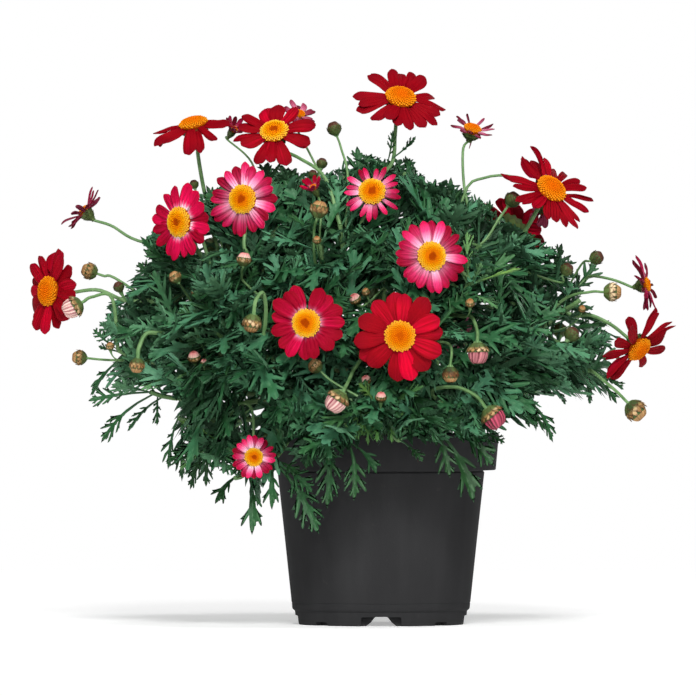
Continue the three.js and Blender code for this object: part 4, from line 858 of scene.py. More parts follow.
def draw_leaf(build, shoot, seed, k, fresh):
    """Draws leaf k of a shoot if there is room for it."""
    leaf = leaf_at(shoot, seed, k)
    templates = PLAIN_TEMPLATES if k >= PLAIN_FROM else TEMPLATES
    template = templates[int(noise(seed, k + 200) * len(templates))]
    if fresh and k < FRESH["leaves"]:
        template = (template[0] * vec(1, FRESH["width"]), *template[1:])
    flat, _, vein = template
    for change in CHANGES:
        rib, length = midrib(leaf, *change)
        middle, up = leaf_surface(leaf, rib, length, flat, LEAF_CHANNEL * (vein > 0))
        if (middle[np.argmax(flat[:, 0])] - leaf["root"]) @ (leaf["root"] - CROWN_CENTRE) < 0:
            return
        beyond = middle[flat[:, 0] > 0.2]
        if inside_outline(to_photo(beyond)).all() and not hides_flower(beyond) and not meets_pot(beyond):
            break
    else:
        return
    age = mix(0 if fresh else 0.84, 1, min(1, k / FRESH["leaves"]))
    # Leaves low on a shoot, deep in the crown, take a lower tone: partly the darker colour of old leaves,
    # partly painted shade.
    add_blade(build, template, middle, up, mix(1, 0.25, k / LEAVES_ON_A_SHOOT) * noise(seed, k + 250), age)


def arched_leaf(build, root, end, number, width, youth):
    """Draws a leaf from a root to a tip, arched a little, and the slimmer the longer it is."""
    away = end - root
    length = np.linalg.norm(away)
    arch = unit(vec(away[0] * 0.2, -0.6, 1)) * length * mix(0.08, 0.2, noise(number, 1))
    rib = [root, root + away * 0.33 + arch * 1.2, root + away * 0.72 + arch * 0.5, end]
    leaf = {
        "axis": unit(vec(0.3 * away[0] / length, -0.8, 1)), "turn": 6 * noise(number, 2), "fold": 0.2,
        "twist": LEAF_TWIST * (noise(number, 3) - 0.5), "wave": LEAF_WAVE * noise(number, 4),
    }
    flat, triangles, vein = TEMPLATES[int(noise(number, 5) * LEAF_VARIANTS)]
    slim = min(max((length - SHORT_LEAF) / (LONG_LEAF - SHORT_LEAF), 0), 1)
    flat = flat * vec(1, width * mix(1.12, 0.84, slim))
    middle, up = leaf_surface(leaf, rib, length * 1.04, flat, LEAF_CHANNEL * (vein > 0))
    # Grown lone leaves take a low tone, painted shade; young ones take a higher one.
    tone = 0.35 * noise(number, 6) - 0.25 + 0.6 * youth
    add_blade(build, (flat, triangles, vein), middle, up, tone, 0.94 - 0.74 * youth)


def add_blade(build, template, middle, up, tone, age):
    """Adds a leaf's two faces, which share their rim."""
    flat, triangles, vein = template
    inner = vein > 0
    n = len(flat)
    looks = looks_of(flat[:, 0], vein, tone, age)
    below = np.arange(n)
    below[inner] = n + np.arange(inner.sum())
    points = np.concatenate([middle, (middle - up * LEAF_THICKNESS)[inner]])
    build.add(points, [triangles, below[triangles][:, ::-1]], np.concatenate([looks, looks[inner]]),
              (STEM_SLOTS["leaf"], STEM_SLOTS["leaf back"]))


# Heads

DISC_SHARE = 0.38  # radius of the disc, of the head's radius
ROOT_SHARE = 0.28
RAY_ROWS = np.array([0, 0.1, 0.24, 0.4, 0.56, 0.7, 0.82, 0.91, 0.97, 1])
RAY_WIDTHS = np.array([0.36, 0.5, 0.7, 0.88, 0.98, 1, 0.95, 0.82, 0.6, 0.36])
RAY_COLUMNS = np.linspace(-1, 1, 7)
RAY_THICKNESS = 0.4
RAY_START = 0.22  # where a ray starts, where its width is set and its greatest width, of the head's radius
RAY_MIDDLE = 0.66
RAY_WIDEST = 0.4
RAY_OVERLAP = 1.36
GROOVE = 0.34  # depth of the grooves along a petal
RIPPLE = 0.022  # height of the ripples along a petal, of the head's radius
TIP = {"round": 0.05, "notch": 0.007}  # how much shorter a petal is at its sides and notches, of its length
LAYERS = [{"height": 1, "tone": 0.62}, {"height": 2.1, "tone": 1}]  # the lower and the upper petals; the lower ones take a lower tone, painted shade under the upper ones
TONES = {"least": 0.3, "most": 1.24}
GAP_REACH = 26  # degrees round a gap in which petals move away from it
# How unevenly petals grow: on a head that isn't wild, and what wildness adds.
UNEVEN = {"place": (0.3, 0.5), "reach": (0.95, -0.2), "width": (0.92, -0.2), "roll": (0.6, 0.9),
          "bend": (0.06, 0.16), "tilt": (0.14, 0.5), "twist": (0.3, 0.8)}
ROLLED = {"roll": 1.7, "tilt": 0.35}  # what is added to a rolled petal


def ray_rise(head, share):
    out = np.maximum(share - ROOT_SHARE, 0) * head.size / 2
    return head.cup * out - head.curl * out**2 / (head.size / 2)


def in_sector(degrees, sectors):
    """Is a direction in any of the sectors, each from one direction anticlockwise to another?"""
    return any((degrees - start) % 360 <= end - start for start, end in sectors)


def part_at_gaps(degrees, gaps):
    """A petal's direction, moved away from the head's gaps."""
    moved = degrees
    for middle, by in gaps:
        off = (degrees - middle + 180) % 360 - 180
        moved += by * math.copysign(math.exp(-(off / GAP_REACH) ** 2), off)
    return moved


def draw_rays(build, head, number, slot):
    """The petals round a head: each a grooved strap with a blunt, lightly notched end, in two layers."""
    radius = head.size / 2
    count = head.rays
    axes = axes_of(facing(head))
    base = head_base(head)
    uneven = {what: even + more * head.wild for what, (even, more) in UNEVEN.items()}
    rows, columns = np.meshgrid(RAY_ROWS, RAY_COLUMNS, indexing="ij")
    widths = np.repeat(RAY_WIDTHS[:, None], len(RAY_COLUMNS), axis=1)
    for i in range(count):
        layer = LAYERS[i % 2]
        place = noise(number, 7) + (i + uneven["place"] * (noise(number, i + 60) - 0.5)) / count
        degrees = part_at_gaps(360 * place, head.gaps)
        if in_sector(degrees, head.missing):
            continue
        more = ROLLED if in_sector(degrees, head.rolled) else {"roll": 0, "tilt": 0}
        reach = radius * mix(uneven["reach"], 1, noise(number, i)) - RAY_START * radius
        width = 2 * math.pi * RAY_MIDDLE * radius / count * RAY_OVERLAP * head.full
        width = min(width, RAY_WIDEST * radius) * mix(uneven["width"], 1.08, noise(number, i + 80))
        notch = TIP["notch"] * (1 - np.cos(3 * math.pi * columns)) * rows**12
        along = RAY_START * radius + reach * rows * (1 - TIP["round"] * columns**2 * rows**4 - notch)
        aside = columns * widths * width / 2
        roll = mix(0.15, uneven["roll"], noise(number, i + 200) ** 2) + more["roll"]
        roll = np.maximum(roll * np.minimum(rows / 0.4, 1), 0.02)
        curve = -aside * columns * np.tan(roll / 2) * (1 if noise(number, i + 210) > 0.4 else -1) * 0.5
        bend = uneven["bend"] * radius * (noise(number, i + 100) - 0.5) * rows**2
        aside = aside * np.sinc(columns * roll / math.pi) + bend
        tilt = (uneven["tilt"] + more["tilt"]) * (noise(number, i + 120) - 0.5)
        groove = GROOVE * np.cos(3 * math.pi * columns) * np.sin(math.pi * rows) ** 0.5
        twist = uneven["twist"] * (noise(number, i + 160) - 0.5) * aside * rows
        ripple = RIPPLE * radius * np.sin(7 * rows + 6.28 * noise(number, i + 170)) * rows
        z = layer["height"] + ray_rise(head, along / radius) + tilt * (along - RAY_START * radius)
        z = z + groove + curve + twist + ripple
        local = turned(along, aside, z, math.radians(degrees)).reshape(-1, 3)
        top = base + local @ axes
        below = base + (local - vec(0, 0, RAY_THICKNESS)) @ axes
        n = len(top)
        wide = len(RAY_COLUMNS)
        faces = grid_faces(len(RAY_ROWS), wide)
        rim = np.concatenate([
            np.arange(wide), np.arange(2 * wide - 1, n, wide),
            np.arange(n - 2, n - wide - 1, -1), np.arange(n - 2 * wide, 0, -wide),
        ])
        after = np.roll(rim, -1)
        sides = np.column_stack([rim, rim + n, after + n, after])
        # A petal's tone is partly random colour and partly painted shade: the random spread also stands in
        # for petals in shadow, the lower layer is darker as if under the upper one, and the head's factor
        # dims heads that face the lamps.
        tone = mix(TONES["least"], TONES["most"], noise(number, i + 180)) * layer["tone"] * head.bright
        across = (columns.ravel() + 1) / 2
        looks = looks_of(np.tile(rows.ravel(), 2), np.tile(across, 2), tone, [1] * n + [0] * n)
        build.add(np.concatenate([top, below]), [faces, faces[:, ::-1] + n, sides[:, ::-1]], looks, slot)


FLORETS = 210
FLORET_SIDES = 5
FLORET_SIZE = 0.56  # radius, of the distance between florets
OPENING = {"from": 0.45, "over": 0.3}  # where on the disc the florets are opening, of its radius
DISC_RINGS = (1, 0.9, 0.72, 0.5, 0.28, 0.1)
DISC_SIDES = 20
DISC_FOOT = {"radius": 0.86, "depth": 2.2}
DISC_RISE = 2.4  # from the foot of the rays
CLOSED_DISC = 0.8  # size of a closed head's disc and cup, of an open one's disc
DOME = {"with eye": 0.3, "plain": 0.42}  # height of the disc, of its radius
DENT = {"depth": 0.5, "radius": 0.22}  # of the middle of a disc with an eye


def draw_disc(build, head, number, slot):
    """The disc: a dome covered with florets in a spiral, open ones outside and buds in the middle."""
    radius = head.size / 2 * DISC_SHARE * head.disc * (CLOSED_DISC if head.closed else 1)
    eye = head.eye
    height = DOME["with eye" if eye else "plain"] * radius
    axes = axes_of(facing(head))
    base = head_base(head) + facing(head) * DISC_RISE

    def dome(share):
        dent = DENT["depth"] * eye * np.exp(-(share / DENT["radius"]) ** 2)
        return height * np.maximum(1 - share**2.4, 0) ** 0.8 - dent

    profile = [(radius * DISC_FOOT["radius"], -DISC_FOOT["depth"])]
    profile += [(radius * share, dome(share)) for share in DISC_RINGS]
    rings = turned_rings(profile, DISC_SIDES)
    faces = [grid_faces(len(profile), DISC_SIDES, True), ring_face(len(rings) - DISC_SIDES, DISC_SIDES)]
    # The dome between the florets takes level 0, the darkest, as painted shade.
    looks = looks_of(np.repeat([1, *DISC_RINGS], DISC_SIDES), 0, 0.5, eye)
    build.add(base + rings @ axes, faces, looks, slot)
    i = np.arange(FLORETS)
    share = np.sqrt((i + 0.5) / FLORETS)
    angle = i * GOLDEN_ANGLE
    size = radius * math.sqrt(math.pi / FLORETS) * FLORET_SIZE
    open_share = np.clip((share - OPENING["from"]) / OPENING["over"], 0, 1)
    j = np.arange(FLORET_SIDES)
    after = (j + 1) % FLORET_SIDES
    fan = 2 * math.pi * j / FLORET_SIDES
    walls = np.column_stack([j, after, after + FLORET_SIDES, j + FLORET_SIDES])
    pits = np.full(FLORET_SIDES, 2 * FLORET_SIDES)
    tops = np.column_stack([j + FLORET_SIDES, after + FLORET_SIDES, pits])
    for k in range(FLORETS):
        c, s = math.cos(angle[k]), math.sin(angle[k])
        centre = vec(radius * 0.97 * share[k] * c, radius * 0.97 * share[k] * s, dome(share[k]))
        out = unit(vec(0, 0, 1) + vec(c, s, 0) * 0.5 * share[k] ** 3)
        side = unit(np.cross(out, vec(0.3, 1, 0)))
        other = np.cross(out, side)
        spoke = np.outer(np.cos(fan + k), side) + np.outer(np.sin(fan + k), other)
        tall = size * mix(0.8, 1.5, open_share[k]) * mix(0.8, 1.25, noise(number, k + 300))
        foot = centre + spoke * size * 0.85 - out * size * 0.4
        lip = centre + spoke * size * mix(0.45, 1.05, open_share[k]) + out * tall
        pit = centre + out * tall * mix(1.25, 0.55, open_share[k])
        # Level runs from 0 at a floret's foot to 1 at its lip, and an open floret's pit sits low; the paint
        # darkens the low end as painted shade.
        level = [0] * FLORET_SIDES + [1] * FLORET_SIDES + [mix(0.5, 0.1, open_share[k])]
        looks = looks_of(share[k], level, noise(number, k), eye)
        build.add(base + np.vstack([foot, lip, pit]) @ axes, [walls, tops], looks, slot)


CUP_ROWS = [(0.25, 11, 0.5), (0.58, 13, 0.48), (0.95, 15, 0.42)]
CUP_PROFILE = [(0.28, 0), (0.72, 0.28), (0.95, 0.62), (1, 1)]
SCALE_OUTLINE = [(0, 0.9), (0.35, 1), (0.7, 0.76), (1, 0.08)]
CUP_SIDES = 16
CUP_LOWER = 0.4  # how much lower the scales start than the part's cup, and how much taller they are
CUP_TALLER = 1.7
CUP_FIT = 0.98  # radius of an open head's cup, of its disc's radius
SCALE_THICKNESS = 0.035  # of the cup's radius
SCALE_OVERLAP = 1.25
FOOT_RIPE = 0.1  # how ripe the foot of a cup is, of its top
FLARE = 2.4  # how far the scales' tips stand out, of a scale's thickness


def scale_cup(build, base, axes, profile, rows, seed, ripe, pale=0.5):
    """A cup of overlapping scales round the axis. A row is its top's height, its count and its length."""
    profile = np.array(profile, float)
    rings = turned_rings(profile, CUP_SIDES)
    slot = STEM_SLOTS["scale"]
    build.add(base + rings @ axes, [grid_faces(len(profile), CUP_SIDES, True)], (0, 0.5, 0.5, 0), slot)
    thick = profile[:, 0].max() * SCALE_THICKNESS
    for row, (top, count, length) in enumerate(rows):
        for i in range(count):
            angle = 2 * math.pi * (i + 0.5 * row + 0.2 * noise(seed, i)) / count
            half = math.pi / count * SCALE_OVERLAP
            points, looks = [], []
            for share, wide in SCALE_OUTLINE:
                h = (top - length * (1 - share)) * mix(0.97, 1.05, noise(seed, i + 20))
                r = np.interp(h, profile[:, 1], profile[:, 0])
                r += thick * (1 + 1.6 * share + FLARE * share**3)
                tone = mix(pale, noise(seed, i + 40 + 30 * row), 0.5)
                grown = ripe * min(1, FOOT_RIPE + 1.3 * h / profile[-1, 1])
                for across in (-1, 0, 1):
                    a = angle + across * half * wide
                    out = r + (0 if across else thick)
                    points.append((out * math.cos(a), out * math.sin(a), h))
                    looks.append((share, abs(across), tone, grown))
            build.add(base + np.array(points) @ axes, [grid_faces(len(SCALE_OUTLINE), 3)], looks, slot)


def draw_cup(build, head, number):
    """The green cup of scales under a head."""
    aim = facing(head)
    base = head_base(head) + aim * (CUP_TOP - CUP_HEIGHT - CUP_LOWER)
    radius = head.size / 2 * DISC_SHARE * head.disc * (CLOSED_DISC if head.closed else CUP_FIT)
    height = CUP_HEIGHT + CUP_TALLER
    profile = [(r * radius, h * height) for r, h in CUP_PROFILE]
    rows = [(top * height, count, length * height) for top, count, length in CUP_ROWS]
    scale_cup(build, base, axes_of(aim), profile, rows, number, 0.4 if head.color == "dark" else 0.2)


BUD_KINDS = {
    "green": {"cover": 0.68, "rows": 3, "color": 0.0, "ripe": 0.45},
    "gold": {"cover": 0.7, "rows": 3, "color": 0.33, "ripe": 0.85},
    "pink": {"cover": 0.6, "rows": 3, "color": 0.66, "ripe": 0.8},
    "striped": {"cover": 0.42, "rows": 2, "color": 1.0, "ripe": 0.8},
}
BUD_ROWS = [(1.0, 12, 0.84), (0.76, 10, 0.7), (0.48, 8, 0.48)]
BUD_PETALS = 16
BUD_WIDTH = 0.47  # radius, of the bud's length
BUD_MIDDLE = {"height": 0.48, "reach": 0.53}  # of the widest place, and how far from it the bud ends
BUD_DIMPLE = {"depth": 0.1, "width": 0.2}
BUD_TWIST = 0.9
BUD_RINGS = (0, 0.22, 0.42, 0.6, 0.76, 0.9, 1)


def bud_radius(h):
    """Radius of a bud of length 1 at a height over its foot."""
    return BUD_WIDTH * np.sqrt(np.maximum(1 - ((h - BUD_MIDDLE["height"]) / BUD_MIDDLE["reach"]) ** 2, 0))


def draw_bud(build, item, seed):
    """A bud: a cup of scales, and over it the folded and twisted petals."""
    middle, aim = bud_frame(item)
    size = item.size
    kind = BUD_KINDS[item.kind]
    axes = axes_of(aim, seed)
    base = middle - aim * size * 0.5
    cover = kind["cover"]
    heights = np.linspace(0, cover, 6)
    profile = np.stack([bud_radius(heights) * size * 0.97, heights * size], axis=1)
    rows = [(top * cover * size, count, length * cover * size)
            for top, count, length in BUD_ROWS[:kind["rows"]]]
    scale_cup(build, base, axes, profile, rows, seed, kind["ripe"], item.pale)
    start = cover - 0.16
    columns = 2 * BUD_PETALS
    points, looks = [], []
    for share in BUD_RINGS:
        h = mix(start, 1, math.sin(share * math.pi / 2))
        dip = BUD_DIMPLE["depth"] * math.exp(-((1 - share) / BUD_DIMPLE["width"]) ** 2)
        for j in range(columns):
            b = 2 * math.pi * j / columns + BUD_TWIST * share**2
            ridge = 1 - mix(0.05, 0.14, noise(seed, j + 80)) * (j % 2) * (1 - 0.5 * share)
            r = max(float(bud_radius(h)), 0.04) * ridge * mix(1, 0.94, noise(seed, j + 60)) * size
            points.append((r * math.cos(b), r * math.sin(b), (h - dip * (0.4 + 0.6 * ridge)) * size))
            mark = noise(seed, j + 90)
            # How deep a column lies in a groove between folds; it sets the stripes and the painted shade in
            # the grooves.
            groove = mix(0.45, 1.1, mark) if j % 2 else mix(0, 0.5, mark**2)
            looks.append((share, groove, item.deep, kind["color"]))
    faces = [grid_faces(len(BUD_RINGS), columns, True), ring_face(len(points) - columns, columns)]
    build.add(base + np.array(points) @ axes, faces, looks, STEM_SLOTS["bud"])


# Pot


def solid(name, points, faces):
    """An object from points in millimetres."""
    mesh = bpy.data.meshes.new(name)
    mesh.from_pydata((np.asarray(points) * MM).tolist(), [], faces)
    return add_object(name, mesh)


def lathe(name, profile, sides=POT_SIDES):
    """A closed solid turned from a profile that starts and ends on the axis."""
    rings = turned_rings([p for p in profile if p[0] > 0], sides)
    last = len(rings)
    points = np.vstack([rings, [(0, 0, profile[0][1]), (0, 0, profile[-1][1])]])
    j = np.arange(sides)
    after = (j + 1) % sides
    low = np.column_stack([after, j, np.full(sides, last)])
    high = np.column_stack([j + last - sides, after + last - sides, np.full(sides, last + 1)])
    faces = [grid_faces(last // sides, sides, True), low, high]
    return solid(name, points, [face for some in faces for face in some.tolist()])


def prism(name, outline, length, turn=0.0, shift=0.0):
    """An upright outline in X and Z pushed along Y, moved along it, and turned about the Z axis."""
    count = len(outline)
    x, z = np.tile(np.array(outline, float).T, 2)
    y = shift + np.repeat([-length / 2, length / 2], count)
    faces = [tuple(range(count)), tuple(range(2 * count - 1, count - 1, -1))]
    faces += [((i + 1) % count, i, count + i, count + (i + 1) % count) for i in range(count)]
    return solid(name, turned(x, y, z, turn), faces)


def cut(piece, tool, operation="DIFFERENCE"):
    """Cuts a tool from a piece, or joins it, and removes the tool."""
    modifier = piece.modifiers.new("cut", "BOOLEAN")
    modifier.operation = operation
    modifier.solver = "EXACT"
    modifier.object = tool
    done = bpy.data.meshes.new_from_object(piece.evaluated_get(bpy.context.evaluated_depsgraph_get()))
    piece.modifiers.clear()
    piece.data = done
    bpy.data.objects.remove(tool)


def arc(x, z, radius, start, end, steps=4):
    """Points on a rounded corner, from one angle to the other in degrees."""
    angles = np.radians(np.linspace(start, end, steps))
    return [(x + radius * math.cos(a), z + radius * math.sin(a)) for a in angles]


def under_floor(grow):
    """The space under the floor: two channels that cross, with notches at and between their ends."""
    below = -3
    top, waist, bottom = (CHANNEL[part] / 2 + grow for part in ("top", "waist", "bottom"))
    high, middle = CHANNEL["height"] + grow, CHANNEL["waist_height"] + grow
    section = [(-bottom, below), (bottom, below), (bottom, 0), (waist, middle), (top, high - 1),
               (top - 1, high), (1 - top, high), (-top, high - 1), (-waist, middle), (-bottom, 0)]
    reach = 2 * (FOOT_RADIUS + NOTCH["depth"])
    space = prism("channel", section, reach)
    cut(space, prism("channel_across", section, reach, math.pi / 2), "UNION")
    for size, turn in ((NOTCH, 0), (SMALL_NOTCH, math.pi / 4)):
        half, high = size["width"] / 2 + grow, size["height"] + grow
        outline = [(-half, below), (half, below),
                   *arc(half - 1, high - 1, 1, 0, 90), *arc(1 - half, high - 1, 1, 90, 180)]
        for i in range(4):
            notch = prism("notch", outline, size["depth"] + 2 * grow, turn + i * math.pi / 2, -FOOT_RADIUS)
            cut(space, notch, "UNION")
    return space


def make_pot(material):
    """The pot, with a faint line and a groove round its body."""
    outside = lathe("pot_fine", [
        (0, 0), (FOOT_RADIUS - 0.8, 0), *arc(FOOT_RADIUS - 0.8, 0.8, 0.8, -70, 0, 3),
        (FOOT_TOP_RADIUS, FOOT_HEIGHT - FOOT_STEP), (BODY_FOOT_RADIUS - 0.3, FOOT_HEIGHT - 0.2),
        (BODY_FOOT_RADIUS, FOOT_HEIGHT + 0.3), (BODY_FOOT_RADIUS + 0.3, LINE_HEIGHT - 0.4),
        (BODY_FOOT_RADIUS + 0.4 - LINE_DEPTH, LINE_HEIGHT), (BODY_FOOT_RADIUS + 0.45, LINE_HEIGHT + 0.4),
        (mix(BODY_FOOT_RADIUS, BODY_TOP_RADIUS, 0.5), mix(FOOT_HEIGHT, COLLAR_FOOT, 0.5)),
        (BODY_TOP_RADIUS, COLLAR_FOOT - GROOVE_HEIGHT), (BODY_TOP_RADIUS - GROOVE_DEPTH, COLLAR_FOOT - 0.8),
        (BODY_TOP_RADIUS - GROOVE_DEPTH, COLLAR_FOOT),
        *arc(COLLAR_RADIUS - 0.7, COLLAR_FOOT + 0.7, 0.7, -90, 0, 4),
        (mix(COLLAR_RADIUS, RIM_RADIUS, 0.8), mix(COLLAR_FOOT, POT_HEIGHT, 0.8)),
        *arc(RIM_RADIUS - 1, POT_HEIGHT - 1, 1, 0, 90, 5), (0, POT_HEIGHT),
    ])
    inside = lathe("pot_inside", [
        (0, WALL), (FOOT_RADIUS - FOOT_WALL, WALL), (FOOT_TOP_RADIUS - WALL, FOOT_HEIGHT),
        (BODY_FOOT_RADIUS - WALL, FOOT_HEIGHT + FOOT_STEP), (BODY_TOP_RADIUS - WALL, COLLAR_FOOT + WALL),
        (COLLAR_RADIUS - WALL, COLLAR_FOOT + WALL), (RIM_RADIUS - 2.2, POT_HEIGHT - 1),
        (RIM_RADIUS - 1.8, POT_HEIGHT + WALL), (0, POT_HEIGHT + WALL),
    ])
    cut(inside, under_floor(WALL))
    cut(outside, under_floor(0))
    cut(outside, inside)
    low, high = CHANNEL["height"] - DRAIN["reach"], CHANNEL["height"] + DRAIN["reach"]
    bore = [(0, low), (DRAIN["radius"], low), (DRAIN["radius"], high), (0, high)]
    angles = np.arange(DRAIN["count"]) * 2 * math.pi / DRAIN["count"]
    for x, y in [(0, 0)] + [(DRAIN["ring"] * math.cos(a), DRAIN["ring"] * math.sin(a)) for a in angles]:
        drain = lathe("drain", bore, DRAIN["sides"])
        drain.data.transform(Matrix.Translation((x * MM, y * MM, 0)))
        cut(outside, drain)
    mesh = outside.data
    mesh.transform(Matrix.Translation(Vector(POT_AXIS * MM)))
    mesh.materials.clear()
    mesh.materials.append(material)
    mesh.shade_smooth()
    mesh.set_sharp_from_angle(angle=math.radians(30))
    return outside


# Soil

SOIL_RINGS = 34
SOIL_SIDES = 110
SOIL_EDGE = {"drop": 3, "rings": 6}  # how much lower the edge is, and over how many rings
CRUMBS = 2600
CRUMB_SUNK = 0.9
BARK_SHARE = 0.14
CRUMB_SIZE = (0.9, 0.8, 0.6)
BARK_SIZE = (2.6, 1.3, 0.7)


def make_soil(material):
    """The compost: a rough top with crumbs and bark on it, over the plain ball of soil in the pot."""
    build = Build()
    edge = (COLLAR_RADIUS + RIM_RADIUS) / 2 - WALL - 1.2

    def top_at(ring):
        return SOIL_TOP - SOIL_EDGE["drop"] + SOIL_EDGE["drop"] * min(1, ring / SOIL_EDGE["rings"])

    wall = [
        (BODY_FOOT_RADIUS - 3.5, CHANNEL["height"] + WALL + 0.5), (BODY_FOOT_RADIUS - 2, FOOT_HEIGHT + 4),
        (BODY_TOP_RADIUS - 2.2, COLLAR_FOOT + WALL + 0.5), (COLLAR_RADIUS - 2.2, COLLAR_FOOT + WALL + 0.5),
        (edge, top_at(0)),
    ]
    top = [(edge * (1 - i / SOIL_RINGS), top_at(i)) for i in range(1, SOIL_RINGS)]
    points = turned_rings(wall + top, SOIL_SIDES)
    rough = np.array([noise(3, i) for i in range(len(points))]) - 0.5
    x, y, _ = points.T
    wave = np.sin(x * 0.31 + 1.3) * np.cos(y * 0.27) + 0.6 * np.sin(y * 0.83)
    on_top = np.arange(len(points)) >= len(wall) * SOIL_SIDES
    points[:, 2] += np.where(on_top, 1.4 * rough + 0.7 * wave - 1.2, 0)
    ends = ring_face(len(points) - SOIL_SIDES, SOIL_SIDES), ring_face(0, SOIL_SIDES, -1)
    build.add(points, [grid_faces(len(wall) + len(top), SOIL_SIDES, True), *ends], (0.5, 0.3, 0.5, 0))
    corners = vec(-1, -1, -1), vec(1, -1, -1), vec(1, 1, -1), vec(-1, 1, -1)
    shape = np.array([*corners, *(c * vec(1, 1, -1) for c in corners)])
    faces = np.array([(3, 2, 1, 0), (4, 5, 6, 7), (0, 1, 5, 4), (1, 2, 6, 5), (2, 3, 7, 6), (3, 0, 4, 7)])
    for i in range(CRUMBS):
        r = edge * math.sqrt(noise(11, i)) * 0.985
        a = 2 * math.pi * noise(12, i)
        bark = noise(13, i) > 1 - BARK_SHARE
        size = np.array(BARK_SIZE if bark else CRUMB_SIZE) * mix(0.5, 1.25, noise(14, i))
        jag = np.array([[noise(15 + c, 8 * i + j) for c in range(3)] for j in range(8)]) - 0.5
        local = turned(*(shape * size * (1 + 0.7 * jag)).T, 2 * math.pi * noise(18, i))
        height = top_at((edge - r) / edge * SOIL_RINGS) - CRUMB_SUNK
        place = vec(r * math.cos(a), r * math.sin(a), height)
        build.add(local + place, [faces], (noise(19, i), 1, bark, 1))
    return build.object("soil_fine", [material], sharp=40)


# Materials


def shader_color(color):
    """A colour given as 0 to 255, as the shaders want it."""
    parts = [part / 255 for part in color]
    return tuple(c / 12.92 if c <= 0.04045 else ((c + 0.055) / 1.055) ** 2.4 for c in parts) + (1,)


class Paint:
    """A procedural material under construction."""

    def __init__(self, name, **values):
        self.material = bpy.data.materials.new(name)
        self.material.use_nodes = True
        self.tree = self.material.node_tree
        self.shader = self.tree.nodes["Principled BSDF"]
        for socket, value in values.items():
            self.shader.inputs[socket.replace("_", " ")].default_value = value

    def node(self, kind, *inputs, **settings):
        """A new node with settings, and with values or other nodes' outputs on its first inputs."""
        made = self.tree.nodes.new(kind)
        for key, value in settings.items():
            setattr(made, key, value)
        for socket, value in zip(made.inputs, inputs):
            self.put(value, socket)
        return made

    def put(self, value, socket):
        """Sets a socket to another node's output, to a number, or to a colour given as 0 to 255."""
        if isinstance(value, bpy.types.NodeSocket):
            self.tree.links.new(value, socket)
        else:
            socket.default_value = shader_color(value) if socket.type == "RGBA" else value

    def look(self):
        """The four numbers at each point."""
        source = self.node("ShaderNodeAttribute", attribute_name="look")
        parts = self.node("ShaderNodeSeparateColor", source.outputs["Color"])
        return (*parts.outputs, source.outputs["Alpha"])

    def math(self, operation, a, b=0.0, clamp=False):
        return self.node("ShaderNodeMath", a, b, operation=operation, use_clamp=clamp).outputs[0]

    def add(self, a, b):
        return self.math("ADD", a, b)

    def less(self, a, b):
        return self.math("SUBTRACT", a, b)

    def times(self, a, b, clamp=False):
        return self.math("MULTIPLY", a, b, clamp)

    def past(self, value, start, slope, share=1.0):
        """How far a value is past a start, times a slope, held from 0 to 1 and then times a share."""
        reached = self.times(self.less(value, start), slope, clamp=True)
        return reached if share == 1 else self.times(reached, share)

    def ramp(self, factor, *stops):
        """Colours along a factor, from places each with a colour."""
        made = self.node("ShaderNodeValToRGB", factor)
        elements = made.color_ramp.elements
        for i, (place, *color) in enumerate(stops):
            element = elements[i] if i < 2 else elements.new(place)
            element.position = place
            element.color = shader_color(color)
        return made.outputs[0]

    def blend(self, factor, a, b, mode="MIX"):
        made = self.tree.nodes.new("ShaderNodeMix")
        made.data_type = "RGBA"
        made.blend_type = mode
        for value, i in ((factor, 0), (a, 6), (b, 7)):
            self.put(value, made.inputs[i])
        return made.outputs[2]

    def place(self):
        """Where a point is in its object, which stands in the scene as its mesh has it."""
        return self.node("ShaderNodeTexCoord").outputs["Object"]

    def noise(self, scale, detail, vector=None):
        """Noise over the object or over a vector."""
        made = self.node("ShaderNodeTexNoise", vector or self.place())
        made.inputs["Scale"].default_value = scale
        made.inputs["Detail"].default_value = detail
        return made.outputs[0]

    def bump(self, height, strength, distance):
        made = self.node("ShaderNodeBump")
        made.inputs["Strength"].default_value = strength
        made.inputs["Distance"].default_value = distance
        self.put(height, made.inputs["Height"])
        self.put(made.outputs[0], self.shader.inputs["Normal"])

    def finish(self, color, roughness=None):
        self.put(color, self.shader.inputs["Base Color"])
        if roughness is not None:
            self.put(roughness, self.shader.inputs["Roughness"])
        return self.material


def leaf_paint(back):
    """Blue-green blades with a pale midrib, yellower when young, and paler on the back."""
    paint = Paint("leaf_back" if back else "leaf", Roughness=0.5, Specular_IOR_Level=0.22)
    along, vein, tone, age = paint.look()
    cloudy = paint.noise(70, 3)
    # The tone from the mesh holds painted shade for leaves deep in the crown and for lone leaves; the
    # cloudy noise adds random tone.
    tone = paint.add(paint.times(tone, 0.6), paint.times(cloudy, 0.5))
    old = paint.ramp(tone, (0.05, 20, 52, 22), (0.2, 28, 68, 34), (0.45, 42, 92, 56), (0.9, 86, 144, 112))
    young = paint.ramp(tone, (0.15, 60, 100, 44), (0.9, 110, 150, 74))
    color = paint.blend(paint.math("POWER", age, 0.8), young, old)
    color = paint.blend(paint.past(vein, 0.6, 2.2, 0.3), color, (118, 160, 118))
    color = paint.blend(paint.past(along, 0.24, -3, 0.7), color, (84, 130, 88))
    if back:
        color = paint.blend(0.4, color, (92, 128, 100))
    paint.bump(paint.noise(900, 2), 0.35, 0.0006)
    return paint.finish(color, paint.add(0.42, paint.times(cloudy, 0.2)))


def stem_paint():
    """Grey-green ribbed stalks, brown and woody low on the main stems."""
    paint = Paint("stem", Roughness=0.55, Specular_IOR_Level=0.25)
    green = paint.look()[0]
    cloudy = paint.noise(160, 3)
    wood = paint.ramp(cloudy, (0.3, 74, 62, 42), (0.7, 112, 98, 66))
    fresh = paint.ramp(cloudy, (0.3, 82, 120, 70), (0.7, 116, 150, 98))
    paint.bump(paint.noise(700, 2), 0.3, 0.0005)
    return paint.finish(paint.blend(paint.past(green, 0.15, 2.4), wood, fresh))


